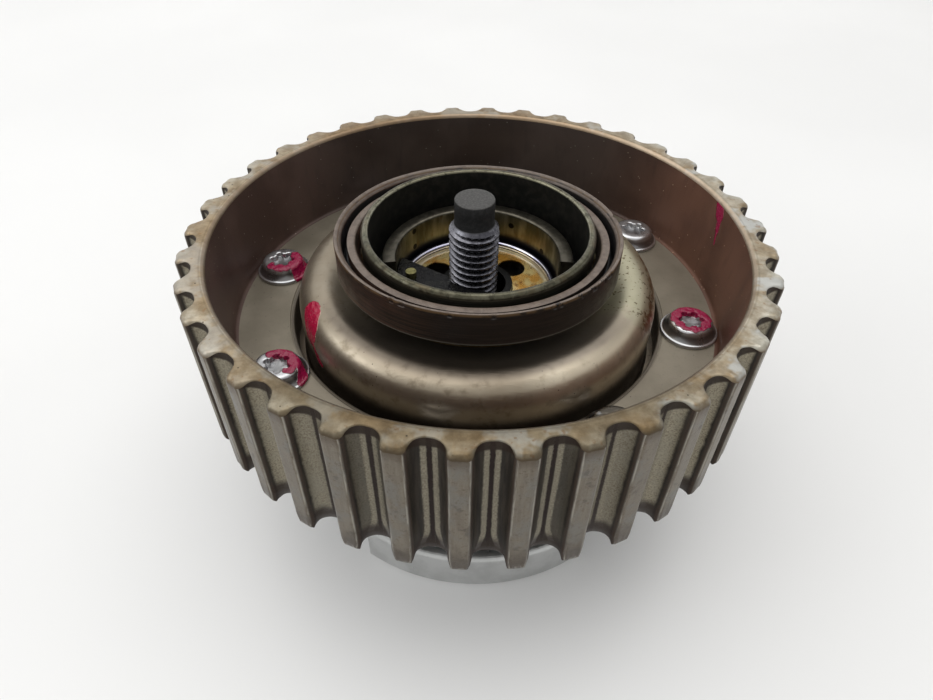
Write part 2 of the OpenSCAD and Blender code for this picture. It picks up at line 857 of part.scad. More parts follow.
// Places a piece of the seal askew on the neck
module askew() {
  translate([0, 0, seal_mid])
    rotate([-seal_tilt, 0, 0])
      translate([0, 0, -seal_mid])
        children();
}

module seal_case() {
  inner = seal_r - seal_wall;
  web_in = seal_lip_r + seal_lip_wall;
  slope = seal_wall - seal_edge;
  color(brown_rubber)
    askew()
      rotate_extrude($fn = 144)
        polygon([
          [web_in, seal_z],
          [seal_r - 0.5, seal_z],
          [seal_r, seal_z + 0.5],
          [seal_r, seal_top - 0.2],
          [seal_r - 0.2, seal_top],
          [seal_r - seal_edge, seal_top],
          [inner, seal_top - slope],
          [inner, seal_z + seal_floor_t],
          [web_in, seal_z + seal_floor_t]
        ]);
}

module seal_lip() {
  outer = seal_lip_r + seal_lip_wall;
  top = seal_top - seal_lip_step;
  garter_z = seal_z + seal_floor_t + seal_lip_wall * 0.6;
  color(brown_rubber)
    askew()
      rotate_extrude($fn = 144)
        polygon([
          [seal_lip_r + 1, seal_z],
          [outer - 0.02, seal_z],
          [outer - 0.02, seal_z + seal_floor_t],
          [outer - 0.5, seal_z + seal_floor_t + 0.4],
          [outer - 0.5, garter_z + 0.4],
          [outer, garter_z + 0.9],
          [outer, top],
          [outer - seal_lip_wall * 0.6, top],
          [seal_lip_r, seal_mid + 0.4],
          [seal_lip_r, seal_mid - 0.2]
        ]);
}

module garter_spring() {
  garter_z = seal_z + seal_floor_t + seal_lip_wall * 0.6;
  color(bright_steel)
    askew()
      wire_ring(seal_lip_r + seal_lip_wall - 0.5 + garter_wire / 2 + 0.02, garter_wire, garter_z - 0.2);
}

toothed_pulley();
rear_cover();
drum_housing();
front_cover();
front_gasket();
flange_screws();
cover_screws();
front_plug();
plug_o_ring();
rear_cover_o_ring();
rear_bush();
front_bush();
camshaft_hub();
oil_plate();
plate_retaining_ring();
baffle_plate();
locating_dowel();
rear_thrust_washer();
front_thrust_washer();
phase_piston();
piston_seal_ring();
return_spring();
centre_bolt();
bolt_washer();
seal_case();
seal_lip();
garter_spring();
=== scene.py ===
import random
from functools import cache, partialmethod
from math import atan2, cos, degrees, dist, hypot, pi, radians, sin, sqrt, tan, tau

import bmesh
import bpy
from mathutils import Matrix, Vector, noise


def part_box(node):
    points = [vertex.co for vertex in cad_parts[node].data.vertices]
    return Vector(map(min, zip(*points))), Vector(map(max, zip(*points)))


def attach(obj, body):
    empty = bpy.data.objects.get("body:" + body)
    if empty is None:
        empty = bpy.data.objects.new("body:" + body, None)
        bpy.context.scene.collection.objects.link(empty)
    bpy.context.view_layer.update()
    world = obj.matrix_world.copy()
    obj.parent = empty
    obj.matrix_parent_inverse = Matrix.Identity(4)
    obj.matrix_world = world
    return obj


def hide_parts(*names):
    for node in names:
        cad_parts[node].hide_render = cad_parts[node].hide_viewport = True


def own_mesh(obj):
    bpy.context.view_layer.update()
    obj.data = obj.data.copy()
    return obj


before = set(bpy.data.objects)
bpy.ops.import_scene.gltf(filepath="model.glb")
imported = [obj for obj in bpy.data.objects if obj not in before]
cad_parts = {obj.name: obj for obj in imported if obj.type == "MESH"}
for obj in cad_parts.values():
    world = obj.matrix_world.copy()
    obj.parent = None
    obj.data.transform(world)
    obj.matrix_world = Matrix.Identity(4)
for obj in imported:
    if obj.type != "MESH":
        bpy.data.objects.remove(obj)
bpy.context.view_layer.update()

scene = bpy.context.scene
MM = 0.001


@cache
def corners(node):
    """Lowest and highest corner of a CAD node in millimetres."""
    return [Vector(corner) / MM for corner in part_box(node)]


def low(node):
    return corners(node)[0]


def high(node):
    return corners(node)[1]


def place(name, data):
    """New object in the scene."""
    obj = bpy.data.objects.new(name, data)
    scene.collection.objects.link(obj)
    return obj


# ---- Mesh helpers: sizes in millimetres, turned into metres when a mesh is made ----

def make(name, verts, faces, mats, body, node, face_mats=None):
    """Mesh object with its materials, body and the CAD node that it replaces."""
    mesh = bpy.data.meshes.new(name)
    mesh.from_pydata([(x * MM, y * MM, z * MM) for x, y, z in verts], [], faces)
    for m in mats:
        mesh.materials.append(m)
    if face_mats:
        mesh.polygons.foreach_set("material_index", face_mats)
    mesh.validate()
    mesh.update()
    mesh.shade_smooth()
    mesh.set_sharp_from_angle(angle=radians(38))
    obj = place(name, mesh)
    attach(obj, body)
    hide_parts(node)
    return obj


def grid_faces(cols, rows, closed_rows=False):
    """Quads of a grid that closes round the axis. Vertex (col, row) has index col * rows + row."""
    faces = []
    last = rows if closed_rows else rows - 1
    for c in range(cols):
        d = (c + 1) % cols
        for r in range(last):
            s = (r + 1) % rows
            faces.append((c * rows + r, d * rows + r, d * rows + s, c * rows + s))
    return faces


def arc(cx, cy, r, a, b, n):
    """Points of an arc round (cx, cy) from a to b degrees in n steps."""
    turns = [radians(a + (b - a) * i / n) for i in range(n + 1)]
    return [(cx + r * cos(t), cy + r * sin(t)) for t in turns]


def points(r, z, *offsets):
    """Points of a section, given by their offsets from (r, z)."""
    return [(r + dr, z + dz) for dr, dz in offsets]


def on(r, az, z):
    """Point at radius r, azimuth az in degrees and height z."""
    return (r * cos(radians(az)), r * sin(radians(az)), z)


def between(p, q, t):
    return (p[0] + (q[0] - p[0]) * t, p[1] + (q[1] - p[1]) * t)


def even(n):
    """n even steps of angle round the axis."""
    return [tau * i / n for i in range(n)]


def turned(name, profile, angles, mats, body, node, centre=(0, 0), closed=True, shift=None, row_mats=None):
    """Body of revolution. profile lists (r, z), or is a function of the angle that gives such a list."""
    verts = []
    for a in angles:
        section = profile(a) if callable(profile) else profile
        for r, z in section:
            if shift:
                r, z = shift(a, r, z)
            verts.append((centre[0] + r * cos(a), centre[1] + r * sin(a), z))
    rows = len(section)
    face_mats = [row_mats(k) for _ in angles for k in range(rows)] if row_mats else None
    return make(name, verts, grid_faces(len(angles), rows, closed), mats, body, node, face_mats)


def outward(obj, angle):
    """Turns every face of a closed mesh outward and marks its sharp edges again."""
    bm = bmesh.new()
    bm.from_mesh(obj.data)
    bmesh.ops.recalc_face_normals(bm, faces=bm.faces)
    bm.to_mesh(obj.data)
    bm.free()
    obj.data.set_sharp_from_angle(angle=radians(angle))


# ---- Shader helpers ----

class Shader:
    """A small builder for node materials in object space (millimetres)."""

    def __init__(self, name):
        self.mat = bpy.data.materials.new(name)
        self.mat.use_nodes = True
        self.tree = self.mat.node_tree
        self.tree.nodes.clear()
        out = self.tree.nodes.new("ShaderNodeOutputMaterial")
        self.bsdf = self.tree.nodes.new("ShaderNodeBsdfPrincipled")
        self.put(out.inputs[0], self.bsdf.outputs[0])
        self.obj = self.vec("SCALE", self.node("TexCoord", {})["Object"], scale=1 / MM)

    def put(self, socket, value):
        """Feeds a socket from another socket, or sets it to a number, a colour or a vector."""
        if isinstance(value, bpy.types.NodeSocket):
            self.tree.links.new(value, socket)
        elif not hasattr(socket.default_value, "__len__"):
            socket.default_value = value
        else:
            size = len(socket.default_value)
            socket.default_value = [value] * size if isinstance(value, (int, float)) else [*value, 1][:size]

    def node(self, kind, inputs, **settings):
        """Adds a node and gives its outputs. An input that is None is left alone."""
        n = self.tree.nodes.new("ShaderNode" + kind)
        for key, value in settings.items():
            setattr(n, key, value)
        for key, value in inputs.items():
            if value is not None:
                self.put(n.inputs[key], value)
        return n.outputs

    def math(self, op, a, b=None, c=None, clamp=False):
        return self.node("Math", {0: a, 1: b, 2: c}, operation=op, use_clamp=clamp)[0]

    add, sub = partialmethod(math, "ADD"), partialmethod(math, "SUBTRACT")
    mul, less = partialmethod(math, "MULTIPLY"), partialmethod(math, "LESS_THAN")

    def vec(self, op, a, b=None, scale=None):
        out = self.node("VectorMath", {0: a, 1: b, "Scale": scale}, operation=op)
        return out["Value"] if op in ("LENGTH", "DOT_PRODUCT", "DISTANCE") else out[0]

    def xyz(self, v=None):
        return self.node("SeparateXYZ", {0: v or self.obj})

    def combine(self, x, y, z):
        return self.node("CombineXYZ", {0: x, 1: y, 2: z})[0]

    def polar(self):
        """(radius, angle in radians, height) of the shaded point about the part's axis."""
        x, y, z = self.xyz()
        r = self.math("SQRT", self.add(self.mul(x, x), self.mul(y, y)))
        return r, self.math("ARCTAN2", y, x), z

    def noise(self, scale, detail=4, rough=0.55, vector=None, distortion=0, colour=False):
        inputs = {"Scale": scale, "Detail": detail, "Roughness": rough, "Distortion": distortion}
        out = self.node("TexNoise", {"Vector": vector or self.obj, **inputs})
        return out["Color"] if colour else out["Fac"]

    def waver(self, size, *noise):
        """Noise round zero, from about -size / 2 to size / 2."""
        return self.mul(self.sub(self.noise(*noise), 0.5), size)

    def cells(self, scale):
        """Distance from the nearest of many scattered points, for specks."""
        return self.node("TexVoronoi", {"Vector": self.obj, "Scale": scale})["Distance"]

    def ramp(self, value, start, end, first=0, last=1, smooth=True):
        """Goes from first to last as value goes from start to end, and stays level beyond."""
        inputs = {"Value": value, "From Min": start, "From Max": end, "To Min": first, "To Max": last}
        return self.node("MapRange", inputs, interpolation_type="SMOOTHSTEP" if smooth else "LINEAR")[0]

    def spots(self, start, end, *noise):
        """Patches that appear as noise rises from start to end."""
        return self.ramp(self.noise(*noise), start, end)

    def mix(self, fac, a, b, most=1, blend="MIX"):
        """Colour a where fac is 0, and b or the share most of it where fac is 1."""
        fac = fac if most == 1 else self.mul(fac, most)
        return self.node("Mix", {0: fac, 6: a, 7: b}, data_type="RGBA", blend_type=blend)[2]

    def fade(self, value, start, end, a, b, most=1):
        """Colour a that turns into b, or the share most of it, as value goes from start to end."""
        return self.mix(self.ramp(value, start, end), a, b, most)

    def tint(self, a, b):
        return self.mix(1, a, b, blend="MULTIPLY")

    def blend(self, fac, a, b):
        """Number a where fac is 0 and b where it is 1."""
        return self.node("Mix", {0: fac, 2: a, 3: b}, data_type="FLOAT")[0]

    def bump(self, height, distance, strength=1, normal=None):
        inputs = {"Height": height, "Distance": distance * MM, "Strength": strength, "Normal": normal}
        return self.node("Bump", inputs)[0]

    def set(self, color, rough, metal=0, normal=None, spec=0.5, coat=0):
        """Sets the finish and gives the material."""
        inputs = {"Base Color": color, "Roughness": rough, "Metallic": metal, "Specular IOR Level": spec}
        inputs.update({"Normal": normal, "Coat Weight": coat, "Coat Roughness": 0.08})
        for key, value in inputs.items():
            if value is not None:
                self.put(self.bsdf.inputs[key], value)
        return self.mat

    def capsule(self, p, a, b):
        """Distance from the point p to the segment from a to b, in millimetres."""
        ab = Vector(b) - Vector(a)
        pa = self.vec("SUBTRACT", p, a)
        t = self.math("DIVIDE", self.vec("DOT_PRODUCT", pa, ab), max(ab.length_squared, 1e-6), clamp=True)
        return self.vec("LENGTH", self.vec("SUBTRACT", pa, self.vec("SCALE", ab, scale=t)))

    def drift(self, size, scale):
        """The shaded point, moved about by coloured noise."""
        wobble = self.vec("SUBTRACT", self.noise(scale, 3, colour=True), (0.5, 0.5, 0.5))
        return self.vec("ADD", self.obj, self.vec("SCALE", wobble, scale=size))

    def splash(self, strokes, warp, scale, soft=0.12):
        """Mask of paint strokes. Each stroke is (a, b, radius)."""
        p = self.drift(warp, scale)
        best = None
        for a, b, r in strokes:
            d = self.sub(self.capsule(p, a, b), r)
            best = d if best is None else self.math("SMOOTH_MIN", best, d, 0.6)
        return self.ramp(best, soft, -soft)


PAINT = (0.27, 0.006, 0.05)
CRIMSON = (0.36, 0.006, 0.04)


def painted(s, strokes, color, rough, metal, normal, warp, scale, paint=PAINT):
    """Lays magenta paint over a finish and gives the material."""
    mask = s.splash(strokes, warp, scale)
    wet = s.mul(mask, s.ramp(s.noise(1.1, 3), 0.3, 0.7, 0.6, 1.4))
    bumped = s.bump(wet, 0.22, 0.7, normal)
    return s.set(s.mix(mask, color, paint), s.blend(mask, rough, 0.17), s.blend(mask, metal, 0), bumped)


# ---- Materials of the pulley ----

# Number of teeth, azimuth of the first groove and pitch in degrees
TEETH, FIRST, PITCH = 38, 2.99, 360 / 38
# Groove: depth, half width at the mouth, slope of the flanks in degrees, radii at the floor and at the land
GROOVE_DEPTH, MOUTH_HALF, FLANK, FLOOR_R, LAND_R = 3.1, 2.85, 12, 2.3, 1.2
# Height of the scoop in which each groove runs down to the front face
FLARE = 3.8
TIP_R, RIM_LOW, RIM_TOP = high("toothed_pulley").y, low("toothed_pulley").z, high("toothed_pulley").z
# Inside of the rim: radius at the mouth and at the web, and the web's opening, depth and thickness
MOUTH_R, WALL_R, OPEN_R = 51.52, 50.02, 38.22
WEB_DEPTH, WEB_T = 18.3, 6.5
WEB_TOP = RIM_TOP - WEB_DEPTH


def pulley_top():
    s = Shader("pulley_top")
    r, _, z = s.polar()
    x, y, _ = s.xyz()
    mid = s.noise(0.32)
    c = s.fade(s.noise(0.055, 3), 0.36, 0.64, (0.2, 0.146, 0.086), (0.225, 0.19, 0.14))
    # bare, greyer metal towards the tooth tips and on the right-hand side
    bare = s.add(s.ramp(r, 53.2, 55.6, 0, 0.45), s.ramp(x, 5, 50, 0, 0.55))
    c = s.mix(s.mul(bare, s.spots(0.36, 0.58, 0.16, 4, 0.6)), c, (0.33, 0.325, 0.3))
    c = s.fade(mid, 0.48, 0.72, c, (0.125, 0.092, 0.058), 0.5)
    c = s.fade(s.noise(4, 4, 0.6), 0.64, 0.78, c, (0.36, 0.33, 0.27))
    c = s.tint(c, s.fade(s.noise(0.42, 5, 0.62), 0.34, 0.66, (0.76, 0.72, 0.66), (1.18, 1.18, 1.18)))
    blue = s.mul(s.spots(0.5, 0.6, 0.1, 4, 0.62), s.ramp(x, -30, 30, 0.35, 0.85))
    c = s.mix(blue, c, (0.335, 0.345, 0.35))
    c = s.mix(s.spots(0.6, 0.7, 0.7, 4, 0.6), c, (0.165, 0.092, 0.042), 0.6)
    c = s.fade(s.cells(0.36), 0.075, 0.04, c, (0.05, 0.04, 0.03))
    # the rounded rear ends of the teeth are browner
    c = s.mix(s.mul(s.ramp(z, RIM_TOP - 0.25, RIM_TOP - 0.9), s.ramp(r, 53, 54)), c, (0.105, 0.08, 0.056))
    # a worn line round the mouth
    lip_r = MOUTH_R + 0.73
    line = s.mul(s.ramp(r, lip_r, lip_r + 0.15), s.ramp(r, lip_r + 0.5, lip_r + 0.25))
    c = s.mix(line, c, (0.05, 0.035, 0.02), 0.22)
    # painted light and shade: the rounded edge of the mouth is lighter on the right and darker on the left and in
    # front
    lip = s.fade(x, -30, 25, (0.16, 0.12, 0.09), (0.32, 0.255, 0.2))
    lip = s.fade(y, -30, 10, (0.135, 0.105, 0.08), lip)
    c = s.fade(r, lip_r, lip_r - 0.2, c, lip, 0.7)
    # painted light and shade: the rim is darker and duller in front, more golden at the back and brighter at the
    # sides
    tint = s.fade(y, -52, -12, (0.74, 0.71, 0.62), (1.18, 1.16, 1.1))
    tint = s.fade(y, 15, 52, tint, (1.3, 1.19, 1.02))
    tint = s.fade(s.math("ABSOLUTE", x), 24, 46, tint, s.mix(0.8, tint, (1.72, 1.7, 1.63)))
    c = s.tint(c, tint)
    return s.set(c, s.ramp(mid, 0.3, 0.7, 0.34, 0.48), 0.75, s.bump(s.noise(2.2, 4, 0.6), 0.09, 0.45))


def tooth_coordinates(s):
    """Distance along the rim from the middle of the nearest groove, then radius, angle and height."""
    r, a, z = s.polar()
    turns = s.math("DIVIDE", s.sub(a, radians(90 + FIRST)), radians(PITCH))
    cell = s.math("ABSOLUTE", s.sub(turns, s.math("ROUND", turns)))
    return s.mul(s.mul(cell, radians(PITCH)), r), r, a, z


def pulley_teeth():
    s = Shader("pulley_teeth")
    x, r, a, z = tooth_coordinates(s)
    tip, low_z, top_z = TIP_R, RIM_LOW, RIM_TOP
    along = s.combine(s.mul(a, 57), s.mul(z, 0.1), r)
    streak = s.noise(1.3, 5, 0.62, along)
    blot = s.noise(0.22, 4, 0.6)
    speck = s.noise(3.6, 4, 0.62)
    across, toward, _ = s.xyz()
    # painted light: 0 at the front of the wheel and 1 towards its sides, where the flanks catch the light
    side = s.ramp(s.math("ABSOLUTE", across), 8, 30)
    # lands: grey-tan steel, bluish where the belt has polished it
    land = s.fade(streak, 0.34, 0.66, (0.165, 0.142, 0.112), (0.235, 0.21, 0.172))
    land = s.fade(blot, 0.46, 0.66, land, (0.19, 0.192, 0.184), 0.6)
    land = s.fade(speck, 0.57, 0.7, land, (0.1, 0.08, 0.058), 0.5)
    land = s.fade(s.noise(9, 2, 0.6), 0.6, 0.78, land, (0.33, 0.305, 0.26), 0.8)
    land = s.mix(s.spots(0.56, 0.66, 1.5, 4, 0.65), land, (0.11, 0.076, 0.052), 0.55)
    land = s.mix(s.spots(0.6, 0.7, 0.5, 3, 0.5), land, (0.075, 0.062, 0.05), 0.45)
    land = s.fade(z, top_z - 3.4, top_z - 1.2, land, (0.105, 0.08, 0.058), 0.65)
    land = s.fade(s.add(z, s.waver(9, 0.35, 4, 0.6)), low_z + 9, low_z + 2, land, (0.066, 0.05, 0.039), 0.72)
    # painted shade: the lands grow darker towards the front of the wheel
    land = s.tint(land, s.fade(toward, -30, -52, (0.95, 0.94, 0.9), (0.8, 0.78, 0.75)))
    # flanks: dark brown-grey and oily; towards the sides of the wheel their inner part turns tan, partly rubbed by
    # the belt and partly painted light where the flanks face the light
    flank = s.fade(streak, 0.36, 0.66, (0.026, 0.022, 0.018), (0.05, 0.041, 0.032))
    sand = s.fade(speck, 0.4, 0.66, (0.33, 0.3, 0.225), (0.19, 0.155, 0.108))
    sand = s.fade(blot, 0.45, 0.65, sand, (0.29, 0.27, 0.215), 0.5)
    inner = s.ramp(s.add(r, s.mul(s.noise(0.8, 3, 0.6), 0.5)), tip - 0.75, tip - 1.35)
    flank = s.mix(s.mul(side, inner), flank, sand)
    # floor: two bands rubbed bright by the belt beside a dark middle line, flaring at the front end
    flare = s.math("POWER", s.ramp(z, low_z + 8.5, low_z + 4.2, smooth=False), 2)
    wander = s.waver(0.9, 0.22, 3, 0.6, along)
    u = s.sub(s.add(x, wander), s.mul(flare, 0.75))
    ragged = s.mul(s.sub(speck, 0.5), 0.9)
    middle = s.ramp(s.add(s.add(x, s.mul(wander, 0.5)), ragged), 0.46, 0.26)
    u = s.add(u, s.mul(ragged, 0.5))
    band = s.mul(s.ramp(u, 0.26, 0.48), s.ramp(u, 1.36, 1.06))
    groove = s.mix(band, flank, s.fade(speck, 0.36, 0.62, (0.255, 0.23, 0.17), (0.16, 0.138, 0.098)))
    groove = s.mix(middle, groove, (0.017, 0.008, 0.006), 0.93)
    foot = s.add(z, s.mul(wander, 1.2))
    groove = s.fade(foot, low_z + 6.6, low_z + 4.4, groove, (0.03, 0.019, 0.014), 0.95)
    # a dark arch under the rear edge, thicker over the floor than over the flanks
    arch = s.sub(z, s.mul(s.sub(r, tip - 1), 0.55))
    groove = s.fade(arch, top_z - 1.15, top_z - 0.65, groove, (0.026, 0.016, 0.011), 0.95)
    # a speckled dark line along the shoulder
    shade = s.add(r, s.mul(wander, 0.25))
    on_land = s.ramp(shade, tip - 0.42, tip - 0.14)
    line = s.mul(s.ramp(shade, tip - 0.95, tip - 0.65), s.ramp(speck, 0.34, 0.54))
    groove = s.mix(line, groove, (0.05, 0.032, 0.022), 0.75)
    # painted highlight: a light line along the rounded edges of each land
    bright = s.mul(s.ramp(shade, tip - 0.34, tip - 0.2), s.ramp(shade, tip - 0.06, tip - 0.14))
    land = s.mix(s.mul(bright, s.ramp(streak, 0.42, 0.56)), land, (0.36, 0.34, 0.295), 0.7)
    c = s.mix(on_land, groove, land)
    band = s.mul(band, s.mul(s.ramp(z, low_z + 3.4, low_z + 4.4), s.ramp(z, top_z - 1.5, top_z - 3)))
    c = s.fade(z, low_z + 1.4, low_z + 0.3, c, (0.06, 0.044, 0.036), 0.55)
    rough = s.blend(on_land, s.blend(band, 0.55, 0.4), s.ramp(streak, 0.3, 0.7, 0.32, 0.48))
    n = s.bump(s.noise(2.2, 5, 0.62), 0.08, 0.4)
    n = s.bump(streak, 0.07, 0.4, n)
    n = s.bump(s.sub(1, middle), 0.12, 0.4, n)
    worn = s.math("MAXIMUM", on_land, s.mul(s.math("MAXIMUM", band, s.mul(side, inner)), 0.8))
    return s.set(c, rough, s.blend(worn, 0.12, 0.72), n, spec=s.blend(worn, 0.14, 0.5))


def pulley_wall():
    s = Shader("pulley_wall")
    _, a, z = s.polar()
    big = s.noise(0.05, 3)
    streak = s.noise(0.5, 4, 0.6, s.combine(s.mul(a, 50), s.mul(z, 0.2), 0))
    c = s.fade(big, 0.35, 0.65, (0.06, 0.03, 0.021), (0.098, 0.053, 0.038))
    c = s.fade(streak, 0.5, 0.75, c, (0.036, 0.021, 0.016), 0.35)
    c = s.fade(s.cells(0.55), 0.085, 0.05, c, (0.3, 0.22, 0.16))
    c = s.mix(s.spots(0.66, 0.76, 7, 2), c, (0.13, 0.09, 0.07))
    x, y, _ = s.xyz()
    # painted light and shade: the inner wall is lighter and redder on the right, bluer on the left and darker and
    # bluer at the back
    tint = s.fade(x, -50, 50, (1.1, 1.2, 1.35), (1.7, 1.5, 1.35))
    tint = s.fade(y, 18, 46, tint, (0.52, 0.66, 0.76))
    c = s.tint(c, tint)
    n = s.bump(s.noise(4, 4, 0.6), 0.06, 0.5)
    strokes = [
        (on(51.5, 12.8, 63.8), on(51.3, 11.6, 61.8), 1.35),
        (on(51.2, 11, 61), on(51.1, 10.4, 59), 0.65),
        (on(51.1, 10.4, 59), on(50.8, 9.6, 56), 0.3),
    ]
    return painted(s, strokes, c, s.ramp(big, 0.3, 0.7, 0.42, 0.55), 0.35, n, 0.6, 0.7)


def pulley_web():
    s = Shader("pulley_web")
    r, _, _ = s.polar()
    mid = s.noise(0.9, 5, 0.65)
    c = s.fade(s.noise(0.08, 3), 0.35, 0.65, (0.19, 0.166, 0.126), (0.245, 0.216, 0.168))
    c = s.fade(mid, 0.56, 0.76, c, (0.155, 0.134, 0.1), 0.4)
    c = s.fade(s.cells(0.62), 0.075, 0.045, c, (0.045, 0.036, 0.03))
    c = s.fade(r, 39.3, 38.6, c, (0.06, 0.048, 0.04), 0.6)
    return s.set(c, s.ramp(mid, 0.3, 0.7, 0.42, 0.52), 0.55, s.bump(s.noise(3, 5, 0.6), 0.06, 0.4))


# ---- Toothed pulley: rounded teeth, tapered inner wall and web ----

def groove_half():
    """Half of a groove: x along the rim, y along the radius, from the land to the middle of the floor."""
    corner = radians(90 + FLANK) / 2
    top = sqrt(TIP_R**2 - MOUTH_HALF**2)
    bottom = TIP_R - GROOVE_DEPTH
    floor_x = MOUTH_HALF - (top - bottom) * tan(radians(FLANK))
    path = arc(MOUTH_HALF + LAND_R / tan(corner), top - LAND_R, LAND_R, 90, 180 - FLANK, 9)
    path += arc(floor_x - FLOOR_R / tan(corner), bottom + FLOOR_R, FLOOR_R, -FLANK, -90, 12)
    return path + [(0, bottom)]


def resample(path, step):
    """The same path with points about one step apart."""
    out = [path[0]]
    for p, q in zip(path, path[1:]):
        n = max(1, round(dist(p, q) / step))
        out += [between(p, q, i / n) for i in range(1, n + 1)]
    return out


def land_points(p, q):
    """Seven points on the tip circle between the grooves that end at p and start at q."""
    out = []
    for i in range(1, 8):
        x, y = between(p, q, i / 8)
        k = TIP_R / hypot(x, y)
        out.append((x * k, y * k))
    return out


def tooth_outline():
    """Closed outline of the rim with every groove, anticlockwise, and its outward normals."""
    right = resample(groove_half(), 0.32)
    one = [right[0]]
    for p in right[1:] + [(-x, y) for x, y in reversed(right)]:
        if dist(p, one[-1]) > 0.03:
            one.append(p)
    outline = []
    for k in range(TEETH):
        turn = radians(FIRST + k * PITCH)
        c, s = cos(turn), sin(turn)
        cell = [(x * c - y * s, x * s + y * c) for x, y in one]
        if outline:
            outline += land_points(outline[-1], cell[0])
        outline += cell
    outline += land_points(outline[-1], outline[0])
    normals = []
    for i, (x, y) in enumerate(outline):
        ax, ay = outline[i - 1]
        bx, by = outline[(i + 1) % len(outline)]
        q = hypot(bx - ax, by - ay) or 1
        normals.append(((by - ay) / q, -(bx - ax) / q))
    return outline, normals


CROWN_TURNS = (12, 28, 44, 60, 75, 90)


def tooth_levels():
    """Levels down the toothed face: height, and how far the surface lies inside the outline."""
    crown, front, steps = 1.25, 0.7, 22
    turns = [radians(t) for t in CROWN_TURNS]
    levels = [(RIM_TOP - crown * (1 - cos(t)), crown * (1 - sin(t))) for t in turns]
    tall = RIM_TOP - crown - RIM_LOW - FLARE
    levels += [(RIM_TOP - crown - tall * i / steps, 0) for i in range(1, steps + 1)]
    for i in range(1, 9):
        z = RIM_LOW + front + (FLARE - front) * (1 - i / 8)
        levels.append((z, 0.3 * (1 - (z - RIM_LOW) / FLARE) ** 2))
    return levels + arc(RIM_LOW + front, levels[-1][1] + front, front, 270, 180, 4)[1:]


def toothed_face(outline, normals, levels):
    """Vertices of the toothed face, with its rounded ends, scoops, wear and chips."""
    chip_share, wave_size, scoop_size, bevel_height, bevel_slope = 0.4, 0.03, 1.15, 1.3, 0.8
    verts = []
    for (x, y), (nx, ny) in zip(outline, normals):
        # the rear edge is rounded more at the tips than in the grooves
        depth = min(1, max(0, (TIP_R - 0.1 - hypot(x, y)) / 2))
        less = 1 - 0.78 * depth
        for k, (z, inset) in enumerate(levels):
            if k < len(CROWN_TURNS):
                z, inset = RIM_TOP - (RIM_TOP - z) * less, inset * less
            edge = max(0, 1 - (RIM_TOP - z) / 1.2) + max(0, 1 - (z - RIM_LOW) / 1.6)
            rough = noise.noise((x * 0.45, y * 0.45, z * 0.3))
            chip = max(0, rough - 0.2) * chip_share * min(1, edge)
            wave = noise.noise((x * 1.3, y * 1.3, z * 0.7)) * wave_size
            scoop = scoop_size * depth * max(0, 1 - (z - RIM_LOW) / FLARE) ** 1.6
            d = inset + chip - wave + scoop
            px, py = x - nx * d, y - ny * d
            bevel = TIP_R - max(0, RIM_LOW + bevel_height - z) * bevel_slope
            q = hypot(px, py)
            if q > bevel:
                px, py = px * bevel / q, py * bevel / q
            verts.append((px, py, z))
    return verts


def bowl_section():
    """Points (r, z) down the inside of the rim and over the web, with the material of each strip."""
    mouth, foot = 0.8, 0.7
    path = [(MOUTH_R + mouth + 0.5, RIM_TOP)]
    for t in (0, 22, 45, 68, 90):
        t = radians(t)
        path.append((MOUTH_R + mouth - mouth * sin(t), RIM_TOP - mouth + mouth * cos(t)))
    wall_top, wall_low = RIM_TOP - mouth, WEB_TOP + foot
    for i in range(1, 7):
        z = wall_top + (wall_low - wall_top) * i / 6
        path.append((MOUTH_R + (WALL_R - MOUTH_R) * (RIM_TOP - z) / WEB_DEPTH, z))
    path += arc(WALL_R - foot, WEB_TOP + foot, foot, 0, -90, 3)[1:]
    # the web has a shallow ring groove beside its opening
    web = [(46.5, 0), (43, 0), (39.6, 0)]
    web += points(OPEN_R, 0, (0.95, 0), (0.88, 0.14), (0.66, 0.14), (0.6, 0.02), (0.25, 0.02), (0.08, 0.12))
    web += [(OPEN_R, 0.35), (OPEN_R, WEB_T)]
    path += [(r, WEB_TOP - d) for r, d in web]
    return path, [0] * 6 + [2] * 9 + [3] * len(web)


def build_pulley():
    outline, normals = tooth_outline()
    levels = tooth_levels()
    n, rows = len(outline), len(levels)
    verts = toothed_face(outline, normals, levels)
    faces = grid_faces(n, rows)
    # 0 is the rim's rear face, 1 the teeth, 2 the inner wall and 3 the web
    mats_of = [0 if i % (rows - 1) < 4 else 1 for i in range(len(faces))]

    def join(sections, row, mat_rows):
        """Joins the outline at one end of the teeth with turned sections on the inside of the rim."""
        base, m = len(verts), len(sections)
        a = None
        for i in range(n):
            x, y, _ = verts[i * rows + row]
            # the angle only ever grows, so no face folds back over its neighbour
            turn = atan2(y, x)
            a = turn if a is None else a + max(1e-5, (turn - a + pi) % tau - pi)
            for r, z in sections:
                x, y = r * cos(a), r * sin(a)
                dent = abs(noise.noise((x * 0.5, y * 0.5, z * 0.5))) * 0.03
                verts.append((x, y, z - (dent if abs(z - RIM_TOP) < 0.1 else 0)))
        for i in range(n):
            j = (i + 1) % n
            faces.append((i * rows + row, base + i * m, base + j * m, j * rows + row))
            mats_of.append(mat_rows[0])
            for k in range(m - 1):
                faces.append((base + i * m + k, base + i * m + k + 1, base + j * m + k + 1, base + j * m + k))
                mats_of.append(mat_rows[k + 1])

    bowl, bowl_mats = bowl_section()
    join(bowl, 0, bowl_mats)
    web_low = WEB_TOP - WEB_T
    underside = [(WALL_R + 0.4, RIM_LOW), (WALL_R, RIM_LOW + 0.4), (WALL_R, web_low), (OPEN_R, web_low)]
    join(underside, rows - 1, [1, 1, 2, 2])
    mats = [pulley_top(), pulley_teeth(), pulley_wall(), pulley_web()]
    outward(make("pulley", verts, faces, mats, "case", "toothed_pulley", mats_of), 50)


build_pulley()


# ---- Rear cover with its domed shoulder ----

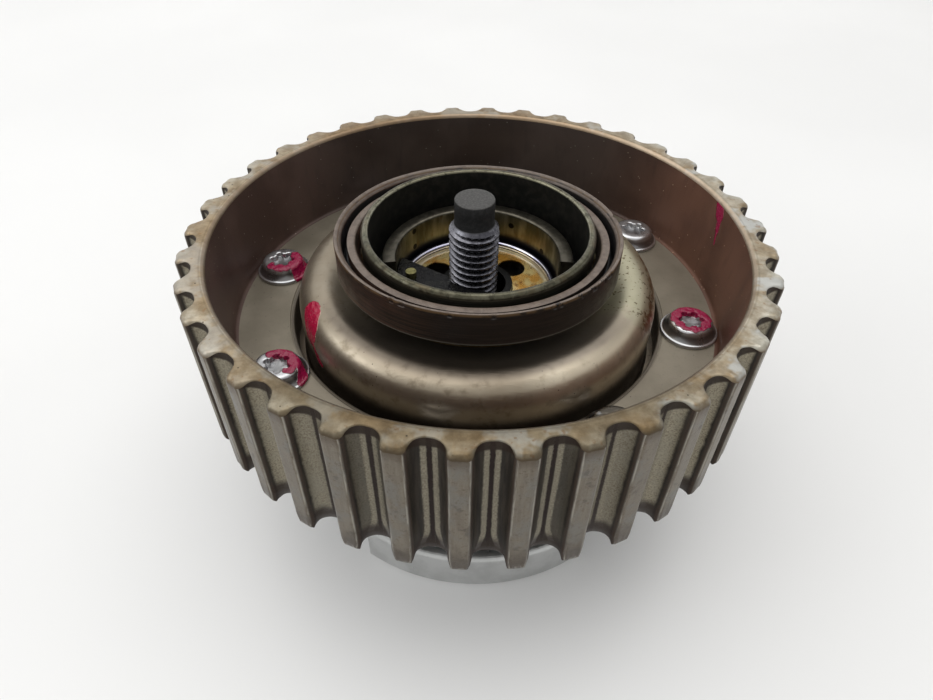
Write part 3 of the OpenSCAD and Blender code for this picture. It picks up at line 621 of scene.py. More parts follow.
def dome_material():
    s = Shader("dome")
    r, a, z = s.polar()
    mid = s.noise(0.45, 5, 0.6)
    c = s.fade(s.noise(0.07, 3), 0.35, 0.68, (0.335, 0.29, 0.232), (0.43, 0.385, 0.32))
    c = s.fade(mid, 0.5, 0.74, c, (0.27, 0.232, 0.182))
    c = s.fade(s.cells(0.5), 0.065, 0.035, c, (0.06, 0.05, 0.04))
    # painted shade darkens the recess round the neck, most in front under the seal; painted light makes the
    # right-hand side paler and the front duller
    x, y, _ = s.xyz()
    inner = s.mul(s.ramp(r, 34.7, 32.2), s.math("MAXIMUM", s.ramp(y, -4, -24), 0.4))
    c = s.mix(inner, c, s.mix(0.86, c, (0.08, 0.068, 0.06)))
    tint = s.fade(x, -20, 18, (1.2, 1.17, 1.1), (1.88, 1.88, 1.8))
    tint = s.mix(s.mul(s.ramp(y, -24, -32), s.ramp(x, 16, 6)), tint, (0.93, 0.89, 0.82))
    c = s.tint(c, tint)
    # a dried film of oil on the right: pale inside, with a rusty line along its outer side
    azimuth = s.add(s.math("DEGREES", a), s.waver(22, 0.3, 3))
    there = s.mul(s.ramp(azimuth, -34, -22), s.ramp(azimuth, 38, 28))
    wide = s.vec("LENGTH", s.vec("MULTIPLY", s.drift(3.5, 0.28), (1, 1, 0)))
    film = s.mul(there, s.ramp(wide, 36, 35.2))
    film = s.mul(film, s.ramp(z, WEB_TOP + 4.6, WEB_TOP + 6.2))
    c = s.mix(film, c, (0.47, 0.455, 0.32), 0.75)
    rim = s.mul(s.ramp(wide, 34.6, 35.2), s.ramp(wide, 36.5, 36))
    rim = s.mul(rim, s.mul(there, s.spots(0.38, 0.52, 0.5, 3)))
    c = s.mix(rim, c, (0.19, 0.088, 0.028), 0.85)
    c = s.mix(s.mul(there, s.spots(0.6, 0.65, 1.1, 3)), c, (0.1, 0.065, 0.03), 0.8)
    # painted shade and reflection: the foot of the dome darkens towards the web, where it mirrors the dark inner
    # wall of the rim
    c = s.fade(z, WEB_TOP + 3, WEB_TOP - 0.4, c, (0.075, 0.055, 0.042), 0.78)
    n = s.bump(s.noise(3.2, 5, 0.65), 0.02, 0.25)
    n = s.bump(s.noise(2.2, 3, 0.6, s.combine(r, z, s.mul(a, 1.2))), 0.02, 0.3, n)
    scratch = s.noise(1, 2, 0.5, s.vec("MULTIPLY", s.obj, (0.2, 2.4, 2.4)))
    n = s.bump(s.ramp(scratch, 0.6, 0.63), 0.02, 0.3, n)
    strokes = [
        (on(35.3, 205.5, 54.4), on(36.4, 210.5, 52), 2.5),
        (on(36.5, 211, 51.4), on(36.6, 217, 47.2), 0.85),
    ]
    return painted(s, strokes, c, s.ramp(mid, 0.3, 0.7, 0.3, 0.4), 0.9, n, 1.6, 0.45, CRIMSON)


def build_dome():
    base, crest = low("rear_cover").z, high("rear_cover").z
    dome_r, shoulder_r, inner_r, bore_r = 36.6, 5.5, 33.4, 24.63
    flange_r, flange_top = 49.5, base + 3
    recess_w, recess_z, ceiling = 4, crest - 0.8, crest - 4.3
    prof = [(inner_r, base), (flange_r, base), (flange_r, flange_top), (dome_r + 0.5, flange_top)]
    prof += [(dome_r, base + up) for up in (3.5, 5, 7, 9)]
    prof += arc(dome_r - shoulder_r, crest - shoulder_r, shoulder_r, 0, 88, 18)
    # the shoulder rolls gently into the shallow recess round the neck
    r_a, z_a = prof[-1]
    for i in range(1, 13):
        t = i / 12
        prof.append((r_a - recess_w * t, z_a + (recess_z - z_a) * t * t * (3 - 2 * t)))
    prof += [(26, recess_z), (bore_r, recess_z), (bore_r, ceiling)] + points(inner_r, ceiling, (-2, 0), (0, -2))

    def wobble(a, r, z):
        q = noise.noise((cos(a) * 2, sin(a) * 2, z * 0.1))
        return r + (0.04 * q if r > 30 and z > flange_top + 0.2 else 0), z

    turned("dome", prof[::-1], even(288), [dome_material()], "case", "rear_cover", shift=wobble)


build_dome()


# ---- Flange screws with a six-lobed recess ----

def screw_material(name, strokes, oily):
    s = Shader(name)
    _, _, z = s.xyz()
    c = s.mix(s.spots(0.35, 0.65, 0.25, 2), (0.46, 0.465, 0.48), (0.6, 0.605, 0.62))
    if oily:
        c = s.mix(s.spots(0.3, 0.5, 0.5), c, (0.085, 0.075, 0.062))
    # painted shade: the sloping side is dull and dark above its bright lower edge
    wall = s.mul(s.ramp(z, WEB_TOP + 2.5, WEB_TOP + 1.8), s.ramp(z, WEB_TOP + 0.71, WEB_TOP + 0.85))
    c = s.mix(wall, c, (0.105, 0.098, 0.094), 0.66)
    n = s.bump(s.noise(1, 2), 0.006, 0.2)
    rough = s.ramp(s.noise(0.4, 2), 0.3, 0.7, 0.26, 0.34)
    if not strokes:
        return s.set(c, rough, 0.95, n)
    return painted(s, strokes, c, rough, 0.95, n, 1, 0.8)


def lobed(d, a):
    """Radius of a six-lobed outline of tip diameter d at the angle a."""
    core, lobe = d * 0.37, d * 0.12
    best = core
    for k in range(6):
        b = (a - k * tau / 6 + pi) % tau - pi
        cx = d / 2 - lobe
        disc = lobe**2 - (cx * sin(b)) ** 2
        if abs(b) < 1.2 and disc > 0:
            best = max(best, cx * cos(b) + sqrt(disc))
    return best


# Screws: number, first azimuth, radius of their circle, height and radius of the head, radius of the flange
SCREWS, SCREW_AZ, SCREW_AT = 8, 33.6, 44.1
HEAD_H, HEAD_R, HEAD_FLANGE_R = 3.2, 4.4, 5.7
# Paint by screw: (step of 30 degrees round the head, half width), and runs down the side (from, to, half width)
SCREW_PAINT = {
    3: ([(b, 1.25) for b in (8, 9, 10, 11, 0)],
        [((4.2, 0.8, 2.7), (5.4, -0.4, 0.8), 1.4),
         ((3.6, -2.4, 2.6), (4.4, -3.4, 0.8), 1.4),
         ((3.4, -0.8, 3.3), (4.6, -1.8, 2), 1.3)]),
    4: ([(b, 1.1) for b in (0, 1, 2, 3, 11)], [((4.6, 0.8, 2.6), (5.2, -2, 0.9), 1.3)]),
    7: ([(b, 1.15 if b < 6 else 0.85) for b in range(12)], []),
}
OILY_SCREW = 6


def screw_section(t):
    """Half section (r, height over the web) of a screw whose recess has the radius t here."""
    sec = [(0.001, 2), (t * 0.55, 2.03), (t * 0.92, 2.1), (t, 2.3)]
    sec += points(t, HEAD_H, (0, -0.3), (0.1, -0.1), (0.28, -0.02))
    sec += [(t + (3.2 - t) * 0.5, HEAD_H), (3.3, HEAD_H - 0.04)]
    rounding = map(radians, (12, 30, 48, 66, 80))
    sec += [(HEAD_R - 0.9 + 0.9 * sin(b), HEAD_H - 0.9 + 0.88 * cos(b)) for b in rounding]
    sec += points(HEAD_R, 0, (0.06, HEAD_H - 1.1), (0.18, 1.75), (0.42, 1.25), (0.78, 0.85))
    sec += points(HEAD_FLANGE_R, 0, (-0.34, 0.7), (-0.12, 0.66), (-0.02, 0.52), (0, 0.38), (0, 0.12), (-0.06, 0.02))
    shank_r, shank_end = 2.5, -13
    return sec + [(shank_r, 0), (shank_r, shank_end), (0.001, shank_end)]


def build_screw(k):
    az = SCREW_AZ + 360 / SCREWS * k
    cx, cy, _ = on(SCREW_AT, az, 0)

    def at(x, y, z):
        return (cx + x, cy + y, WEB_TOP + z)

    ring = [at(*on(3, 30 * b, HEAD_H - 0.1)) for b in range(12)]
    head, runs = SCREW_PAINT.get(k, ((), ()))
    strokes = [(ring[b], ring[(b + 1) % 12], w) for b, w in head] + [(at(*p), at(*q), w) for p, q, w in runs]
    mat = screw_material("screw_finish_%d" % k, strokes, k == OILY_SCREW)

    def section(a):
        return points(0, WEB_TOP, *screw_section(lobed(5.1, a - radians(az + 12))))

    name = "flange_screw_%d" % (k + 1)
    turned(name, section, even(120), [mat], "case", "flange_screws", (cx, cy), False)


for k in range(SCREWS):
    build_screw(k)


# ---- Hub ----

# The half-round ledge runs between these azimuths; it and the pocket lie this deep below the rim
LEDGE_FROM, LEDGE_TO = -7, 192
LEDGE_DEPTH, POCKET_DEPTH = 6.8, 12


def hub_material():
    s = Shader("hub")
    r, a, z = s.polar()
    top = high("camshaft_hub").z
    mid = s.noise(0.6, 4, 0.6)
    lines = s.noise(3, 3, 0.6, s.combine(s.mul(a, 0.6), s.mul(z, 1.4), r))
    upright = s.combine(s.mul(a, 9), 0, s.mul(z, 0.16))
    rim = s.fade(mid, 0.35, 0.65, (0.152, 0.148, 0.115), (0.25, 0.24, 0.195))
    rim = s.fade(lines, 0.5, 0.7, rim, (0.12, 0.11, 0.072))
    rim = s.fade(s.noise(0.22, 3, 0.6), 0.52, 0.66, rim, (0.15, 0.118, 0.08), 0.6)
    rim = s.fade(r, 21.82, 21.66, rim, (0.46, 0.45, 0.37), 0.55)
    _, y, _ = s.xyz()
    rim = s.fade(s.noise(0.9, 4, 0.65), 0.5, 0.62, rim, (0.06, 0.056, 0.044), 0.7)
    # painted shade: the rim grows darker in front and at the back
    rim = s.tint(rim, s.fade(y, -18, 2, (0.55, 0.54, 0.48), (1.05, 1.05, 0.98)))
    rim = s.tint(rim, s.fade(y, 4, 18, (1, 1, 1), (0.58, 0.56, 0.53)))
    # painted shade: the bore wall is near-black
    bore = s.fade(mid, 0.4, 0.7, (0.014, 0.0145, 0.013), (0.03, 0.028, 0.024))
    neck = s.fade(lines, 0.4, 0.7, (0.085, 0.084, 0.066), (0.15, 0.147, 0.12))
    ledge = s.fade(mid, 0.35, 0.65, (0.066, 0.06, 0.047), (0.118, 0.108, 0.086))
    brass = s.mix(s.spots(0.36, 0.64, 0.5, 3, 0.6, upright), (0.1, 0.094, 0.056), (0.3, 0.284, 0.205))
    brass = s.fade(s.noise(0.9, 3, 0.6, upright), 0.55, 0.68, brass, (0.12, 0.075, 0.026), 0.7)
    ring_top = high("plate_retaining_ring").z
    # painted shade: a blue-black band in the gap above the retaining ring
    brass = s.fade(z, ring_top + 2.4, ring_top + 0.9, brass, (0.012, 0.012, 0.018))
    # painted shade: dark discs stand for the mouths of small drillings; azimuth and depth below the ledge
    for az, down in ((146, 1.2), (146, 5), (64, 2.8), (33, 5.4)):
        d = s.vec("DISTANCE", s.obj, on(16.5, az, top - LEDGE_DEPTH - down))
        brass = s.fade(d, 0.75, 0.55, brass, (0.006, 0.005, 0.004))
    c = s.fade(r, 22.55, 22.75, rim, neck)
    c = s.fade(z, top - 0.75, top - 1, rim, c)
    inside = s.mul(s.less(r, 21.7), s.less(z, top - 0.5))
    c = s.mix(inside, c, bore)
    for radius, depth, layer in ((19.6, 6, ledge), (16.75, 7.1, brass), (7.7, 10, (0.012, 0.012, 0.012))):
        c = s.mix(s.mul(s.less(r, radius), s.less(z, top - depth)), c, layer)
    # painted shade: everything below the oil plate is near-black
    c = s.mix(s.less(z, high("oil_plate").z - 1.2), c, (0.008, 0.007, 0.006))
    n = s.bump(lines, 0.02, 0.4)
    n = s.bump(s.noise(5), 0.02, 0.4, n)
    dark_wall = s.mul(inside, s.math("GREATER_THAN", r, 20.5))
    return s.set(c, s.blend(dark_wall, 0.28, 0.42), s.blend(dark_wall, 0.92, 0.6), n)


def build_hub():
    top, base = high("camshaft_hub").z, low("camshaft_hub").z
    ledge_z, pocket_z = top - LEDGE_DEPTH, top - POCKET_DEPTH
    floor_z = high("oil_plate").z - 2
    boss_top = low("baffle_plate").z - 0.22
    flange_top = low("rear_thrust_washer").z - 0.05
    flange_z = flange_top - 4
    spline_z = high("front_thrust_washer").z + 0.05
    seat_z = 24
    neck_r, bore_r, ledge_r, chamber_r = 23, 21.5, 19.3, 16.5
    boss_r, hole_r, head_r, spigot_r, spline_r, flange_r = 7.4, 6, 12, 16, 22.6, 30
    # the rim is bevelled on the outside and rounded on the inside
    outside = [(neck_r, flange_top)]
    outside += points(neck_r, top, (0, -3), (0, -0.95), (-0.07, -0.62), (-0.22, -0.36), (-0.6, -0.04), (-0.7, 0))
    outside += points(bore_r, top, (0.45, 0), (0.22, -0.06), (0.05, -0.24), (0, -0.5), (0, -3))
    outside += [(bore_r, ledge_z + 0.2), (bore_r, pocket_z), (ledge_r, pocket_z)]
    below = [(chamber_r, floor_z), (boss_r, floor_z), (boss_r, boss_top), (hole_r, boss_top), (hole_r, seat_z)]
    below += [(head_r, seat_z), (head_r, base), (spigot_r, base), (spigot_r, spline_z), (spline_r, spline_z)]
    below += [(spline_r, flange_z), (flange_r, flange_z), (flange_r, flange_top)]

    def section(a):
        # the ledge ends a little after LEDGE_TO and starts again a little before LEDGE_FROM + 360
        d = degrees(a)
        ledge = d < LEDGE_TO + 0.3 or d > LEDGE_FROM + 359.3
        z = ledge_z if ledge else pocket_z
        lip = [(ledge_r, z - 0.3 if ledge else z), (ledge_r - 0.2, z - 0.05 if ledge else z), (ledge_r - 0.45, z)]
        lip += [(18, z), (16.95, z), (16.7, z - 0.08), (16.55, z - 0.25), (chamber_r, z - 0.5)]
        return (outside + lip + [(chamber_r, min(z - 0.6, pocket_z - 0.2))] + below)[::-1]

    turns = [LEDGE_FROM + i for i in range(360)]
    # two sections close together make each end of the ledge upright
    turns += [end + step for end in (LEDGE_TO, LEDGE_FROM + 359) for step in (0.25, 0.35)]
    angles = [radians(d) for d in sorted(turns)]
    turned("hub", section, angles, [hub_material()], "hub", "camshaft_hub")


build_hub()


# ---- Centre bolt with its helical thread ----

def bolt_material():
    s = Shader("bolt")
    x, _, z = s.xyz()
    tip = high("centre_bolt").z
    c = s.mix(s.spots(0.4, 0.65, 1.5), (0.014, 0.014, 0.0145), (0.026, 0.026, 0.027))
    bare = s.mix(s.spots(0.4, 0.65, 2.5, 5, 0.6), (0.05, 0.049, 0.048), (0.082, 0.08, 0.078))
    c = s.mix(s.math("GREATER_THAN", z, tip - 0.25), c, bare)
    thread = s.ramp(z, tip - 5.1, tip - 5.5)
    steel = s.mix(s.spots(0.4, 0.65, 1), (0.085, 0.085, 0.1), (0.19, 0.19, 0.215))
    # painted highlight on the left side of the thread and painted shade down its middle
    steel = s.fade(x, 1, -4.5, steel, (0.27, 0.27, 0.3), 0.5)
    steel = s.fade(s.math("ABSOLUTE", x), 3.2, 0.6, steel, (0.045, 0.045, 0.055), 0.55)
    c = s.mix(thread, c, steel)
    rough = s.blend(thread, 0.55, s.ramp(s.noise(2.2, 3), 0.4, 0.6, 0.26, 0.4))
    return s.set(c, rough, s.blend(thread, 0.35, 0.95), s.bump(s.noise(3, 2), 0.01, 0.3))


def build_bolt():
    base, tip = low("centre_bolt").z, high("centre_bolt").z
    middle = (low("centre_bolt") + high("centre_bolt")) / 2
    pitch, crest, depth = 1.5, 5, 0.92
    point_r, point_z, thread_end, shank_r, head_r = 3.93, tip - 5, tip - 27, 4.98, 8.6
    start = point_z - 0.2
    washer_z, head_z = high("bolt_washer").z, base + 8
    point = points(0, tip, (0.001, -0.05), (2, -0.05), (3.3, -0.02), (3.62, -0.02), (3.83, -0.1))
    point += points(point_r, tip, (0, -0.32), (0, -2.5), (0, -5), (0.05, -5.15))
    shank = [(4.6, thread_end - 0.2), (4.6, washer_z), (shank_r, washer_z - 0.4), (shank_r, head_z)]
    shank += [(head_r, head_z), (head_r, base + 0.6), (head_r - 0.6, base), (0.001, base)]
    heights = []
    z = start
    while z > thread_end:
        heights.append(z)
        z -= pitch / 20

    def section(a):
        thread = []
        for z in heights:
            tri = abs((z / pitch + a / tau) % 1 - 0.5) * 2
            cut = min(1, max(0, (tri - 0.12) / 0.66))
            # the thread fades in below the plain point
            fade = min(1, (start - z) / 1.1)
            thread.append((min(crest - depth * (1 - cut), 3.98 + (crest - 3.98) * fade), z))
        return point + thread + shank

    mats = [bolt_material()]
    turned("bolt", section, even(120), mats, "bolt", "centre_bolt", middle.xy, False)


build_bolt()


# ---- Oil seal: case with its groove, and inner ring ----

# The loose seal leans by this angle about its middle, which is at this height
TILT, SEAL_MID = radians(2.4), 60.5


def rubber(name):
    """Moulded brown rubber with fine rings: painted light makes faces that look up pinkish-brown and painted shade
    makes the side near-black.
    """
    s = Shader(name)
    r, a, z = s.polar()
    x, y, _ = s.xyz()
    # height over the middle of the tilted seal
    up_z = s.sub(z, s.mul(y, -sin(TILT)))
    height = s.sub(up_z, SEAL_MID)
    lines = s.noise(1.6, 3, 0.6, s.combine(s.mul(a, 1.4), s.mul(up_z, 2.6), s.mul(r, 1.6)))
    side = s.fade(lines, 0.42, 0.62, (0.012, 0.0085, 0.0065), (0.024, 0.016, 0.012))
    # painted light: reddish streaks on the left of the side
    side = s.mix(s.mul(s.ramp(x, -4, -24), s.ramp(lines, 0.4, 0.66)), side, (0.085, 0.042, 0.027))
    # painted highlight: a pale line along the lower edge
    side = s.fade(height, -2.75, -3.05, side, (0.2, 0.185, 0.155), 0.8)
    band = s.mul(s.ramp(height, 2.75, 3.15), s.spots(0.36, 0.56, 0.35, 3))
    side = s.mix(band, side, (0.13, 0.078, 0.036), 0.75)
    # painted light and shade: faces that look up take the pinkish-brown top colour, the rest keep the dark side
    # colour
    _, _, up = s.xyz(s.node("NewGeometry", {})["Normal"])
    top = s.mix(s.spots(0.4, 0.64, 0.7, 5, 0.65), (0.165, 0.128, 0.104), (0.112, 0.084, 0.068))
    top = s.mix(s.spots(0.66, 0.76, 3, 3), top, (0.27, 0.215, 0.185))
    on_case = s.math("GREATER_THAN", r, 27.3)
    above = s.blend(on_case, s.ramp(height, 0.3, 0.8), s.ramp(height, 3.1, 3.3))
    c = s.mix(s.mul(s.ramp(up, 0.45, 0.7), above), side, top)
    # torn, dark chips along the upper edge on the right
    torn = s.mul(s.ramp(r, 27.55, 27.85), s.ramp(height, 2.7, 3))
    azimuth = s.math("DEGREES", a)
    torn = s.mul(torn, s.mul(s.ramp(azimuth, -72, -62), s.ramp(azimuth, -24, -34)))
    c = s.mix(s.mul(torn, s.spots(0.52, 0.58, 0.9, 3, 0.7)), c, (0.01, 0.008, 0.007))
    n = s.bump(lines, 0.05, 0.5)
    n = s.bump(s.noise(2.6, 5), 0.05, 0.4, n)
    return s.set(c, s.ramp(s.noise(0.5, 4, 0.6), 0.3, 0.7, 0.34, 0.48), 0, n, spec=0.42)


def tilt_object(obj):
    middle = Matrix.Translation((0, 0, SEAL_MID * MM))
    obj.data.transform(middle @ Matrix.Rotation(-TILT, 4, "X") @ middle.inverted())


def build_seal():
    top, foot = SEAL_MID + 3.5, SEAL_MID - 3.5
    draw = random.Random(4).uniform
    # chips along the upper edge: azimuth, half width in degrees and depth
    nicks = [(draw(-68, -28), draw(0.4, 0.9), draw(0.15, 0.35)) for _ in range(12)]
    nicks += [(-121, 0.9, 0.5), (-117, 1.3, 0.4), (-99, 0.7, 0.35), (-84, 0.8, 0.3), (12, 1.5, 0.3)]

    def nick(a, r, z):
        d = degrees(a)
        cut = 0
        if r > 27.6 and z > top - 1.1:
            for az, width, depth in nicks:
                e = abs((d - az + 180) % 360 - 180)
                if e < width:
                    cut = max(cut, depth * (1 - (e / width) ** 2))
        wave = noise.noise((cos(a) * 3, sin(a) * 3, z * 0.3 + 5))
        return r - cut * 0.75 + wave * 0.04, z - cut * 0.5 + (wave * 0.03 if z > top - 0.3 else 0)

    case_rubber = rubber("seal_rubber_case")
    # painted shade: the groove of the case is near-black
    dark = Shader("seal_groove").set((0.006, 0.005, 0.005), 0.5)
    inner_r, groove_r, out = 25.82, 26.8, 28.2
    floor_z = foot + 1.5
    prof = [(inner_r, foot), (27.7, foot), (27.95, foot + 0.16)]
    prof += points(out, foot, (-0.06, 0.42), (0, 0.6), (-0.03, 0.85))
    for i in range(9):
        prof += points(out, foot + 1.1 + i * 0.6, (-0.02, 0), (-0.09, 0.3))
    prof += points(out, top, (0, -0.75), (0, -0.3), (-0.07, -0.1), (-0.24, 0), (-0.4, -0.02), (-0.75, -0.34))
    prof += points(groove_r, top, (0.1, -0.9), (0, -1.15)) + [(groove_r, floor_z), (inner_r, floor_z)]
    # the first two strips, once turned round, are the floor and the side of the groove
    mats, groove = [case_rubber, dark], (0, 1)
    ring = turned("seal_case_ring", prof[::-1], even(540), mats, "seal", "seal_case", shift=nick,
                  row_mats=lambda k: int(k in groove))
    tilt_object(ring)
    lip_top, lip_r, lip_out = top - 1.4, 23.3, 25.8
    lip = [(lip_r + 1, foot)]
    lip += points(lip_out, foot, (-0.02, 0), (-0.02, 1.5), (-0.5, 1.9), (-0.5, 3.3), (0, 3.9))
    lip += points(lip_out, lip_top, (0, -0.25), (-0.08, -0.06), (-0.25, 0), (-1.3, 0), (-1.55, -0.1), (-1.7, -0.35))
    lip += points(lip_r, SEAL_MID, (0.05, 0.5), (0, 0.3), (0, -0.2))
    tilt_object(turned("seal_lip_ring", lip[::-1], even(360), [case_rubber], "seal", "seal_lip"))


build_seal()


# ---- Finishes for the CAD pieces that are shown as they are ----

def simple_metal(name, a, b, rough=0.3, metal=0.9, scale=0.6, bump=0.05):
    s = Shader(name)
    c = s.mix(s.spots(0.36, 0.64, scale, 4, 0.6), a, b)
    rough = s.ramp(s.noise(scale * 2, 3), 0.3, 0.7, rough * 0.8, rough * 1.3)
    return s.set(c, rough, metal, s.bump(s.noise(3.5, 4, 0.6), bump, 0.4))


def oiled():
    """Golden oil plate with orange varnish; painted shade makes the walls of its holes near-black."""
    s = Shader("oiled_plate_finish")
    r, _, z = s.polar()
    a = s.noise(0.16, 4, 0.6, distortion=0.6)
    b = s.noise(0.5, 5, 0.6)
    c = s.fade(a, 0.4, 0.58, (0.68, 0.54, 0.24), (0.56, 0.28, 0.045))
    c = s.fade(b, 0.56, 0.7, c, (0.2, 0.075, 0.015))
    c = s.fade(s.add(r, s.mul(b, 1.6)), 14.6, 15.3, c, (0.72, 0.66, 0.45), 0.8)
    _, y, _ = s.xyz()
    c = s.mix(s.mul(s.ramp(y, 0, -8), s.spots(0.36, 0.56, 0.28, 3, 0.6)), c, (0.4, 0.15, 0.018), 0.75)
    # painted shade: the plate turns near-black just below its top face, down the walls of its holes
    c = s.fade(z, high("oil_plate").z - 0.15, high("oil_plate").z - 0.4, c, (0.02, 0.014, 0.008))
    return s.set(c, 0.24, 0.7, s.bump(b, 0.1, 0.4), coat=0.5)


def retaining_ring():
    """Chrome wire whose outer half is painted near-black as shade in the gap against the wall."""
    s = Shader("chrome_finish")
    r, _, _ = s.polar()
    c = s.mix(s.spots(0.4, 0.6, 0.3, 3), (0.52, 0.51, 0.66), (0.7, 0.69, 0.74))
    gap_shade = s.ramp(r, 15.4, 15.62)
    return s.set(s.mix(gap_shade, c, (0.012, 0.012, 0.018)), 0.16, s.blend(gap_shade, 1, 0.2))


def oily_black():
    s = Shader("baffle_finish")
    c = s.mix(s.spots(0.4, 0.7, 0.5), (0.004, 0.004, 0.005), (0.012, 0.012, 0.011))
    n = s.bump(s.noise(0.8, 4, 0.6), 0.25, 0.6)
    return s.set(c, s.ramp(s.noise(0.7, 3), 0.4, 0.7, 0.1, 0.32), 0, n, spec=0.13)


def dress(node, mat):
    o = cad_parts[node]
    o.data.materials.clear()
    o.data.materials.append(mat)
    o.data.shade_smooth()
    o.data.set_sharp_from_angle(angle=radians(30))


ALU = simple_metal("front_aluminium_finish", (0.5, 0.505, 0.5), (0.6, 0.605, 0.6), 0.34, 0.85, 0.2, 0.03)


def drum():
    """Dark drum with turned lines, brown stains and a few bare scratches."""
    s = Shader("drum_finish")
    r, a, z = s.polar()
    lines = s.noise(2.4, 3, 0.6, s.combine(s.mul(a, 1.5), s.mul(z, 1.6), r))
    blot = s.noise(0.12, 4, 0.6)
    c = s.fade(lines, 0.4, 0.64, (0.03, 0.027, 0.024), (0.058, 0.053, 0.047))
    c = s.fade(blot, 0.5, 0.68, c, (0.046, 0.03, 0.021), 0.6)
    scratch = s.noise(1.1, 2, 0.5, s.vec("MULTIPLY", s.obj, (0.3, 0.3, 2.6)))
    c = s.fade(scratch, 0.68, 0.72, c, (0.16, 0.155, 0.145), 0.5)
    n = s.bump(lines, 0.03, 0.4)
    n = s.bump(s.noise(3, 4, 0.6), 0.04, 0.3, n)
    return s.set(c, s.ramp(blot, 0.3, 0.7, 0.38, 0.54), 0.6, n)


DRUM = drum()
BLACK = simple_metal("black_oxide_finish", (0.018, 0.018, 0.02), (0.045, 0.045, 0.048), 0.4, 0.5, 0.8, 0.04)
BRONZE = simple_metal("bronze_finish", (0.3, 0.21, 0.1), (0.42, 0.31, 0.17), 0.35, 0.9)
BRASS = simple_metal("dowel_finish", (0.13, 0.12, 0.045), (0.27, 0.25, 0.11), 0.34, 0.9, 1.5)
STEEL = simple_metal("steel_finish", (0.28, 0.28, 0.285), (0.42, 0.42, 0.43), 0.3, 0.95)
GASKET = Shader("gasket_finish").set((0.02, 0.02, 0.02), 0.6)
PLASTIC = Shader("plastic_finish").set((0.75, 0.73, 0.68), 0.5)

SLOTS = (
    ("front_aluminium", ALU, ("front_cover", "front_plug")),
    ("housing_steel", DRUM, ("drum_housing",)),
    ("black_steel", BLACK, ("cover_screws",)),
    ("black_steel", oily_black(), ("baffle_plate",)),
    ("gasket_rubber", GASKET, ("front_gasket", "plug_o_ring", "rear_cover_o_ring")),
    ("bush_bronze", BRONZE, ("rear_bush", "front_bush", "rear_thrust_washer", "front_thrust_washer")),
    ("oiled_plate", oiled(), ("oil_plate",)),
    ("ring_chrome", retaining_ring(), ("plate_retaining_ring",)),
    ("dowel_brass", BRASS, ("locating_dowel",)),
    ("piston_steel", STEEL, ("phase_piston",)),
    ("seal_ring_plastic", PLASTIC, ("piston_seal_ring",)),
    ("spring_steel", BLACK, ("garter_spring",)),
    ("bolt_steel", BLACK, ("bolt_washer",)),
)
for slot, finish, nodes in SLOTS:
    for node in nodes:
        dress(node, finish)


def build_spring():
    """Round-wire return spring between the piston and the hub's flange."""
    foot, head = low("return_spring"), high("return_spring")
    wire, turns, sides, steps, travel = 1, 4, 16, 240, 10
    # share of the wire that lies flat against each seat
    flat = 0.08
    length = head.z - foot.z
    coil = (head.x - foot.x) / 2 - wire
    verts = []
    for i in range(steps + 1):
        a = tau * turns * i / steps
        t = min(1, max(0, (i / steps - flat) / (1 - 2 * flat)))
        z = foot.z + wire + (length - 2 * wire) * t
        for j in range(sides):
            b = tau * j / sides
            radius = coil + wire * cos(b)
            verts.append((radius * cos(a), radius * sin(a), z + wire * sin(b)))
    faces = [range(sides)[::-1], range(steps * sides, (steps + 1) * sides)]
    for i in range(steps):
        for j in range(sides):
            k = (j + 1) % sides
            faces.append((i * sides + j, (i + 1) * sides + j, (i + 1) * sides + k, i * sides + k))
    obj = make("spring_coil", verts, faces, [STEEL], "case", "return_spring")
    outward(obj, 38)
    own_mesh(obj)


build_spring()


# ---- Stage: a pale table that curves up at the back, soft light and the camera ----

def stage_material():
    s = Shader("table")
    c = s.fade(s.noise(0.006, 2), 0.35, 0.65, (0.79, 0.79, 0.792), (0.82, 0.82, 0.822))
    return s.set(c, 0.32, spec=0.35)


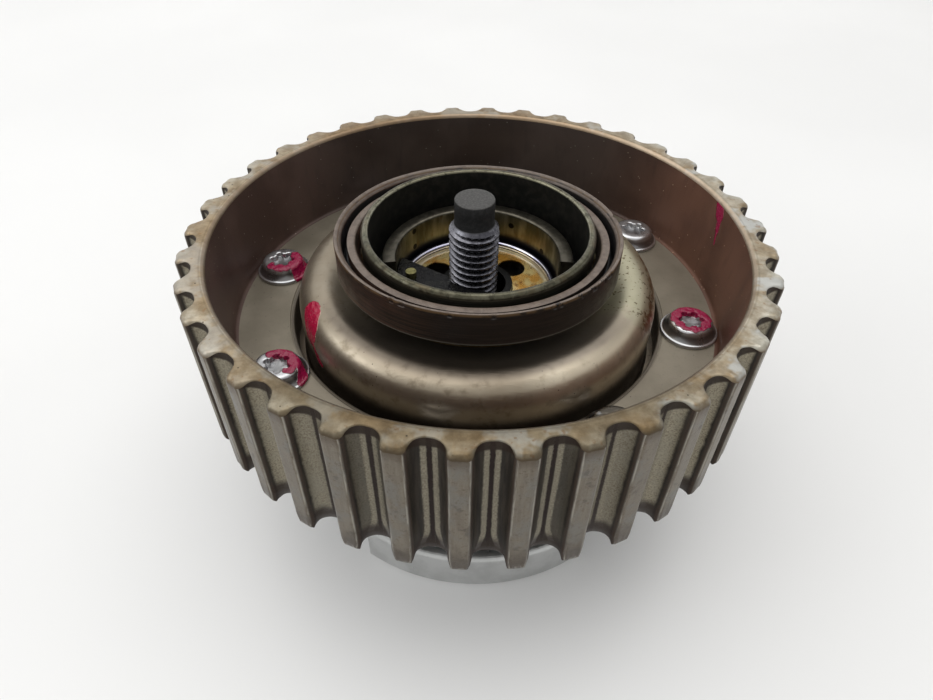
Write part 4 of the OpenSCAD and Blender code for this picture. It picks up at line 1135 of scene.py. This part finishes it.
def build_stage():
    verts, faces = [], []
    path = [(-1400, 0), (500, 0), *arc(500, 400, 400, -80, 0, 8), (900, 1500)]
    half_width = 1600
    for y, z in path:
        verts += [(x * MM, y * MM, z * MM) for x in (-half_width, half_width)]
    for i in range(len(path) - 1):
        faces.append((2 * i, 2 * i + 1, 2 * i + 3, 2 * i + 2))
    mesh = bpy.data.meshes.new("table")
    mesh.from_pydata(verts, [], faces)
    mesh.materials.append(stage_material())
    mesh.shade_smooth()
    place("table", mesh)


build_stage()


def area(name, location, target, size, power, color):
    data = bpy.data.lights.new(name, "AREA")
    data.shape = "RECTANGLE"
    data.size, data.size_y = size
    data.energy = power
    data.color = color
    lamp = place(name, data)
    lamp.location = location
    direction = Vector(target) - Vector(location)
    lamp.rotation_mode = "QUATERNION"
    lamp.rotation_quaternion = direction.to_track_quat("-Z", "Y")


area("ceiling_light", (-0.08, 0.25, 1.5), (0, 0, 0.03), (2.3, 1.7), 17, (1, 0.99, 0.97))
area("window_light", (-1.3, -0.2, 0.9), (0, 0, 0.03), (0.9, 0.7), 3.5, (0.97, 0.99, 1))

scene.world = world = bpy.data.worlds.new("room")
world.use_nodes = True
sky = world.node_tree.nodes["Background"].inputs
sky[0].default_value = (0.9, 0.9, 0.885, 1)
sky[1].default_value = 0.74


def build_camera():
    # angles in radians, and the place behind and above the rim in millimetres
    pitch, roll, yaw = 0.748, 0.013, -0.018
    back, above = 112.1, 70.8
    cy, sy = cos(yaw), sin(yaw)
    forward = Vector((sy * cos(pitch), cy * cos(pitch), -sin(pitch)))
    side = Vector((cy, -sy, 0))
    upward = side.cross(forward)
    right = cos(roll) * side + sin(roll) * upward
    up = -sin(roll) * side + cos(roll) * upward
    data = bpy.data.cameras.new("camera")
    data.sensor_width = 36
    data.lens = 25.7
    data.clip_start, data.clip_end = 0.005, 20
    cam = place("camera", data)
    m = Matrix((right, up, -forward)).transposed().to_4x4()
    m.translation = Vector((0, -back * MM, (RIM_TOP + above) * MM))
    cam.matrix_world = m
    scene.camera = cam


build_camera()

scene.view_settings.view_transform = "Standard"
